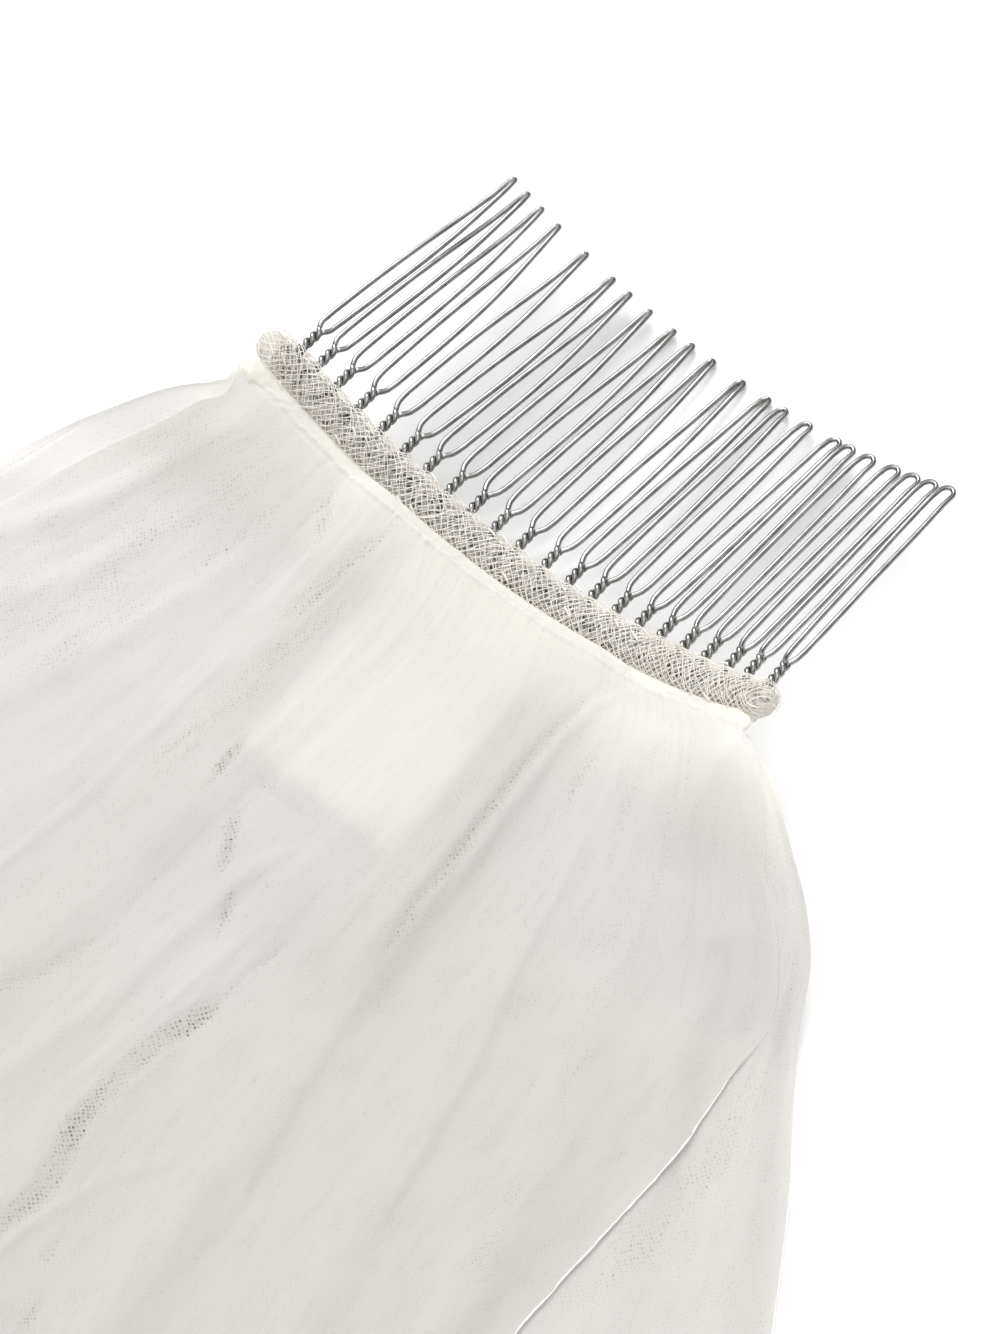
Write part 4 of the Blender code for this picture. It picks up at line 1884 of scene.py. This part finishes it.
@dataclass
class BareLabel:
    """A plain satin label, sewn into the seam, with its lower end folded under."""

    fan: Fan
    half_width: float = 11.8 * MM
    length: float = 33.8 * MM
    start: float = 0.9 * MM
    lean: float = 3.0 * MM
    thick: float = 0.34 * MM
    gap: float = 0.75 * MM
    uneven: float = 0.14 * MM
    fold: float = 0.55 * MM
    turned_end: float = 4.0 * MM
    columns: int = 40
    rows: int = 70

    def build(self, satin: bpy.types.Material) -> bpy.types.Object:
        """Build the label.

        Args:
            satin: Its finish.

        Returns:
            The piece.
        """
        share = np.linspace(0.0, 1.0, self.rows)
        side = np.linspace(-1.0, 1.0, self.columns)
        share, side = np.meshgrid(share, side, indexing="ij")
        run = self.start + self.length * share
        across = self.half_width * side + self.lean * run / (self.start + self.length)
        fan = self.fan
        rise = fan.axes.rise(across) * (1.0 - ease(run, 0.0, fan.fall_run)) + fan.thickness(run)
        waver = Waver(71, 22.0 * MM, 3)
        rolled = ease(share, 0.90, 0.97) * (1.0 - 0.9 * ease(share, 0.985, 1.0))
        top = rise + self.gap + self.thick + self.uneven * waver.at(across, run)
        top = top + self.fold * rolled * (0.7 + 0.3 * np.cos(3.0 * side))
        low = top - self.thick - self.fold * rolled
        layers = [np.stack([across, fan.seam_y - run, level], axis=-1) for level in (top, low)]
        points = np.concatenate([layer.reshape(-1, 3) for layer in layers]) + fan.axes.origin()
        number = np.arange(share.size).reshape(self.rows, self.columns)
        top_quads = np.stack([number[:-1, :-1], number[1:, :-1], number[1:, 1:], number[:-1, 1:]], axis=-1)
        low_quads = top_quads[..., ::-1] + share.size
        rim = np.concatenate([number[:, 0], number[-1, 1:], number[-2::-1, -1], number[0, -2:0:-1]])
        after = np.roll(rim, -1)
        wall = np.stack([rim, rim + share.size, after + share.size, after], axis=-1)
        faces = np.concatenate([quads.reshape(-1, 4) for quads in (top_quads, low_quads, wall)])
        mesh = bpy.data.meshes.new("satin_label")
        mesh.from_pydata(points, [], faces.tolist())
        piece = add_piece("satin_label", mesh)
        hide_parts("label")
        dress(piece, satin)
        return piece


# Sides of the tiers, as (distance from the seam, distance out from the even fan) in millimetres
LOWER_LEFT = SideLie((
    (0, 0.4), (1, -2.1), (2, -4.1), (3, -5.5), (4, -6.4), (6, -6.9), (10, -7.2), (20, -6.6),
    (28, -6.8), (60, -4), (120, 0), (650, 0),
))
LOWER_RIGHT = SideLie((
    (0, 1.8), (1, 1.4), (2, 0.2), (4, -1.5), (6, -2.8), (8, -3.4), (14, -2.8), (18, -2.6),
    (28, -4.6), (36, -5.4), (50, -6), (80, -9.1), (120, -7), (200, 0), (650, 0),
))
UPPER_LEFT = SideLie((
    (0, 1), (2, -2.5), (4, -5.5), (8, -7.5), (20, -7), (30, -5), (60, -2), (120, 0), (500, 0),
))
UPPER_RIGHT = SideLie((
    (0, 2), (1, 1.4), (2, 0.9), (4, -1.2), (6, -2.7), (10, -4.4), (14, -4.9), (18, -3.3),
    (22, -2.1), (28, -0.6), (36, -1.8), (55, -2.2), (65, -3.6), (80, -6.6), (90, -8.9), (150, -4),
    (220, 0), (500, 0),
))

# Creases near the comb, as path, half width, height, painted shade and crispness
UPPER_CREASES = (
    Crease(((-19.8, -20.3), (-19.0, -39.8), (-18.9, -62.3), (-20.7, -78.9), (-25, -112)),
           1.3, 0.9, -0.12, 1.4),
    Crease(((-22.7, -13.3), (-21.4, -17.0), (-19.8, -20.3)), 1.4, -0.5, 0.70),
    Crease(((-13.5, -12.5), (-15.0, -19.0), (-16.0, -27.0), (-17.5, -34.0)), 1.6, -0.5, 0.52, 1.5),
    Crease(((-12.2, -20.0), (-13.0, -30.0), (-14.5, -42.0), (-15.5, -60.0)), 3.4, -0.2, 0.30),
    Crease(((-30.0, -18.0), (-37.1, -33.0), (-38.0, -39.5), (-39.9, -49.8), (-45, -72)),
           2.6, -0.3, 0.27),
    Crease(((-26.0, -18.0), (-29.5, -31.7), (-34.2, -47.6), (-37.5, -61.0)), 2.2, -0.3, 0.27),
    Crease(((-34.0, -14.0), (-41.0, -30.0), (-50.0, -52.0)), 17.0, 0.3, 0.16),
    Crease(((-42.0, -15.0), (-48.0, -26.0), (-55.0, -42.0)), 2.2, 0.6, 0.05),
    Crease(((20.3, -13.3), (19.5, -22.0), (19.3, -28.2), (20.6, -38.0), (21.5, -49.5), (23.5, -59)),
           1.2, -0.8, 0.42, 1.5),
    Crease(((23.5, -58.0), (27.0, -75.5), (34.0, -102.0)), 1.4, 0.5, 0.0),
    Crease(((24.3, -11.5), (21.6, -16.0), (20.9, -21.4), (21.9, -34.7), (23.6, -46)),
           1.2, 0.8, -0.05, 1.3),
    Crease(((24.7, -15.0), (25.5, -21.0), (26.2, -27.4), (27.2, -36.0)), 1.1, -0.4, 0.22),
    Crease(((28.6, -11.8), (29.7, -21.9), (31.4, -29.5), (36.0, -48.0), (41.0, -62), (47, -88)),
           1.3, 0.7, -0.05),
    Crease(((32.0, -13.5), (32.8, -22.0), (34.5, -32.0)), 1.2, -0.4, 0.18),
    Crease(((34.5, -13.0), (36.2, -24.0), (39.0, -36.0)), 1.2, 0.5, 0.0),
    Crease(((37.0, -15.7), (40.0, -27.8), (42.3, -38.0), (48.4, -48.9), (54.9, -66.5), (61, -90)),
           2.8, -0.5, 0.14),
    Crease(((51.0, -32.0), (55.0, -28.0), (58.5, -25.5)), 3.4, 0.9, -0.05),
    Crease(((46.0, -14.0), (54.0, -23.0), (60.0, -33.0), (61.5, -46.0)), 1.0, 0.5, 0.10),
    Crease(((-9.3, -45.2), (-8.7, -49.5), (-8.0, -53.8)), 1.2, -0.5, 0.85, 2.0),
    Crease(((-4.1, -52.5), (-1.2, -57.8), (1.3, -62.5)), 1.1, -0.5, 0.90, 2.0),
    Crease(((2.9, -61.4), (4.4, -64.4), (5.9, -67.8)), 1.0, -0.5, 0.90, 2.0),
    Crease(((-5.5, -48.9), (-1.5, -49.2), (4.0, -48.8)), 0.9, -0.3, 0.42),
    Crease(((14.0, -62.0), (12.3, -68.5), (11.8, -73.0)), 0.9, -0.6, 0.30),
    Crease(((11.9, -72.0), (11.5, -78.3), (10.3, -84.1), (10.1, -91), (10.6, -99), (13.6, -107.3),
            (12.9, -117)), 1.9, -0.9, 0.60, 2.4),
    Crease(((12.1, -74.5), (11.7, -78.5), (10.7, -83.0)), 1.6, -0.2, 0.5, 2.0),
    Crease(((10.1, -95.5), (10.9, -99.0), (12.8, -103.0)), 1.5, -0.2, 0.5, 2.0),
    Crease(((19.0, -110.5), (19.6, -113.0), (20.3, -115.5)), 1.2, -0.4, 0.55, 2.0),
    Crease(((22.4, -117.0), (23.2, -120.0), (24.4, -125.0)), 1.8, -0.4, 0.40, 1.5),
    Crease(((-3.8, -74.0), (-6.2, -84.0), (-10.5, -95.0)), 1.7, -0.5, 0.28),
    Crease(((5.8, -53.0), (3.0, -60.8), (1.7, -75.2), (1.7, -84.9), (-1.4, -99.5), (-6.5, -122)),
           2.6, 1.2, -0.2),
    Crease(((16.4, -84.5), (21.0, -90.0), (23.0, -93.4), (17.8, -101.3), (15.3, -111.9), (15.0, -121)),
           1.3, 0.7, -0.2),
    Crease(((9.0, -63.0), (8.2, -74.0), (6.8, -86.0), (5.5, -100.0)), 1.1, 0.6, -0.1, 1.3),
    Crease(((2.0, -20.0), (3.0, -36.0), (5.0, -50.0)), 14.0, 0.2, -0.05),
    Crease(((14.5, -14.0), (15.5, -30.0), (17.0, -48.0), (18.0, -62.0)), 1.3, -0.2, 0.06),
)
LOWER_CREASES = (
    Crease(((66.5, -38.0), (70.0, -50.0), (71.5, -62.0), (71.0, -82.0)), 3.2, -0.3, 0.30),
    Crease(((56.0, -19.0), (62.5, -28.0), (67.5, -40.0), (76.0, -56.0)), 1.5, 0.8, 0.05),
    Crease(((10.8, -72.0), (10.2, -92.0), (12.5, -118.0)), 4.5, -0.3, 0.5),
    Crease(((-8.0, -46.0), (-0.5, -58.0), (5.0, -68.0)), 3.0, -0.2, 0.4),
)


# Studio


@dataclass
class Studio:
    """White table, soft light from the upper left, and the camera."""

    axes: CombAxes
    eye: tuple = (412.06 * MM, -491.28 * MM, 999.75 * MM)
    aim: tuple = (7.57 * MM, -17.73 * MM, 3.1 * MM)
    image_width: float = 1000.0
    focal_pixels: float = 9659.6
    sensor: float = 36.0
    table: float = 2.6
    clip: tuple = (0.02, 20.0)
    clear_bounces: int = 24
    key_power: float = 32.5
    key_size: float = 1.3
    key_place: tuple = (-1.05, 0.75, 1.35)
    fill_power: float = 8.0
    fill_size: float = 1.6
    fill_place: tuple = (0.5, -0.3, 1.9)
    room_light: float = 1.10
    room: tuple = (
        # height of the direction from straight down to straight up, brightness
        (0.00, 0.30),
        (0.48, 0.14),
        (0.69, 0.16),
        (0.79, 0.78),
        (1.00, 1.00),
    )

    def aimed(self, thing: bpy.types.Object, place: Vector, target: Vector) -> None:
        """Put a light or camera in place and turn it to its target.

        Args:
            thing: The light or camera.
            place: Where it goes.
            target: Where it looks.
        """
        thing.location = place
        thing.rotation_euler = (target - place).to_track_quat("-Z", "Y").to_euler()
        bpy.context.scene.collection.objects.link(thing)

    def lamp(self, name: str, place: tuple, power: float, size: float) -> None:
        """Hang one soft square light over the comb.

        Args:
            name: The light's name.
            place: Where it hangs, from the comb.
            power: Its power, in watts.
            size: Its side.
        """
        light = bpy.data.lights.new(name, "AREA")
        light.energy = power
        light.size = size
        comb = Vector(self.axes.origin())
        self.aimed(bpy.data.objects.new(name, light), comb + Vector(place), comb)

    def soft_room(self) -> bpy.types.World:
        """Build a room that is white overhead and darker all round, as a light tent is.

        Returns:
            The room.
        """
        graph = Graph(bpy.data.worlds.new("soft_room"), "Background")
        where = graph.node("ShaderNodeTexCoord", {}, {}, "Generated")
        upward = graph.node("ShaderNodeSeparateXYZ", {}, {0: where}, "Z")
        share = graph.node("ShaderNodeMapRange", {}, {"Value": upward, "From Min": -1.0})
        stops = [(place, (light, light, light)) for place, light in self.room]
        light = graph.node("ShaderNodeValToRGB", {"stops": stops}, {0: share})
        return graph.finish(Color=light, Strength=self.room_light)

    def build(self, table_finish: bpy.types.Material) -> None:
        """Build the table, lights, world and camera.

        Args:
            table_finish: The table's finish.
        """
        half = self.table
        corners = [(-half, -half, 0.0), (half, -half, 0.0), (half, half, 0.0), (-half, half, 0.0)]
        mesh = bpy.data.meshes.new("white_table")
        mesh.from_pydata(corners, [], [(0, 1, 2, 3)])
        mesh.materials.append(table_finish)
        table = bpy.data.objects.new("white_table", mesh)
        bpy.context.scene.collection.objects.link(table)
        self.lamp("key_light", self.key_place, self.key_power, self.key_size)
        self.lamp("fill_light", self.fill_place, self.fill_power, self.fill_size)
        scene = bpy.context.scene
        scene.world = self.soft_room()
        scene.view_settings.view_transform = "Standard"
        scene.cycles.transparent_max_bounces = self.clear_bounces
        lens = bpy.data.cameras.new("photo_camera")
        lens.sensor_fit = "HORIZONTAL"
        lens.sensor_width = self.sensor
        lens.lens = self.focal_pixels / self.image_width * self.sensor
        lens.clip_start, lens.clip_end = self.clip
        camera = bpy.data.objects.new("photo_camera", lens)
        comb = Vector(self.axes.origin())
        self.aimed(camera, comb + Vector(self.eye), comb + Vector(self.aim))
        scene.camera = camera


def main() -> None:
    """Build every piece of the veil in order."""
    axes = CombAxes()
    fan = Fan(axes)
    steel = SteelFinish("bright_wire").make()
    # The bar's steel is painted darker than the teeth's, for the shade under its net.
    bar_steel = SteelFinish("bar_wire", (0.15, 0.148, 0.14), (0.08, 0.078, 0.072)).make()
    net = NetFinish("bridal_net").make()
    # The lower tier's net is a darker copy of the upper one's: painted shade.
    lower_net = NetFinish("bridal_net_lower", light=(0.705, 0.685, 0.665)).make()
    # The wound strip's net is a lighter copy: painted light against the shade of its wound plies.
    strip_net = NetFinish("wound_net", light=(0.82, 0.795, 0.755), thread=0.13).make()
    # The last number of each thread finish is the strength of its painted glow.
    thread = ThreadFinish("net_thread", (0.93, 0.905, 0.865), (0.86, 0.83, 0.785), 0.42, 0.155).make()
    cord = ThreadFinish("cord_thread", (0.92, 0.91, 0.89), (0.86, 0.85, 0.83), 0.6, 0.18).make()
    rolled = RolledFinish("rolled_net").make()
    satin = SatinFinish("label_satin").make()
    Studio(axes).build(FloorFinish("white_table").make())
    WireComb(axes).build(steel, bar_steel)
    lower = VeilTier(
        fan,
        TierKind.LOWER,
        columns=300,
        rows=260,
        left=LOWER_LEFT,
        right=LOWER_RIGHT,
        creases=LOWER_CREASES,
        cut=(1.12, 0.65),
        cut_area=0.42,
        seed=100,
        # Painted light on each side, and painted shade in the open meshes.
        painted_light_left=0.80,
        painted_light_right=0.10,
        shade_near=0.03,
        start=-0.9 * MM,
    )
    upper = VeilTier(
        fan,
        TierKind.UPPER,
        columns=330,
        rows=290,
        left=UPPER_LEFT,
        right=UPPER_RIGHT,
        creases=UPPER_CREASES,
        cut=(0.84, 0.50),
        cut_area=0.26,
        seed=200,
        # Painted light on each side, and painted shade in the open meshes.
        painted_light_left=0.95,
        painted_light_right=0.90,
        shade_near=0.05,
        start=-2.6 * MM,
    )
    lower_piece = lower.build(lower_net)
    label = BareLabel(fan).build(satin)
    upper_piece = upper.build(net)
    cords = [CordedEdge(lower, radius=0.08 * MM).build(cord), CordedEdge(upper).build(cord)]
    GatheredRidge(axes).build(rolled)
    WoundNet(axes).build(thread, strip_net)


if __name__ == "__main__":
    logging.basicConfig(level=logging.INFO, format="%(name)s: %(message)s")
    main()
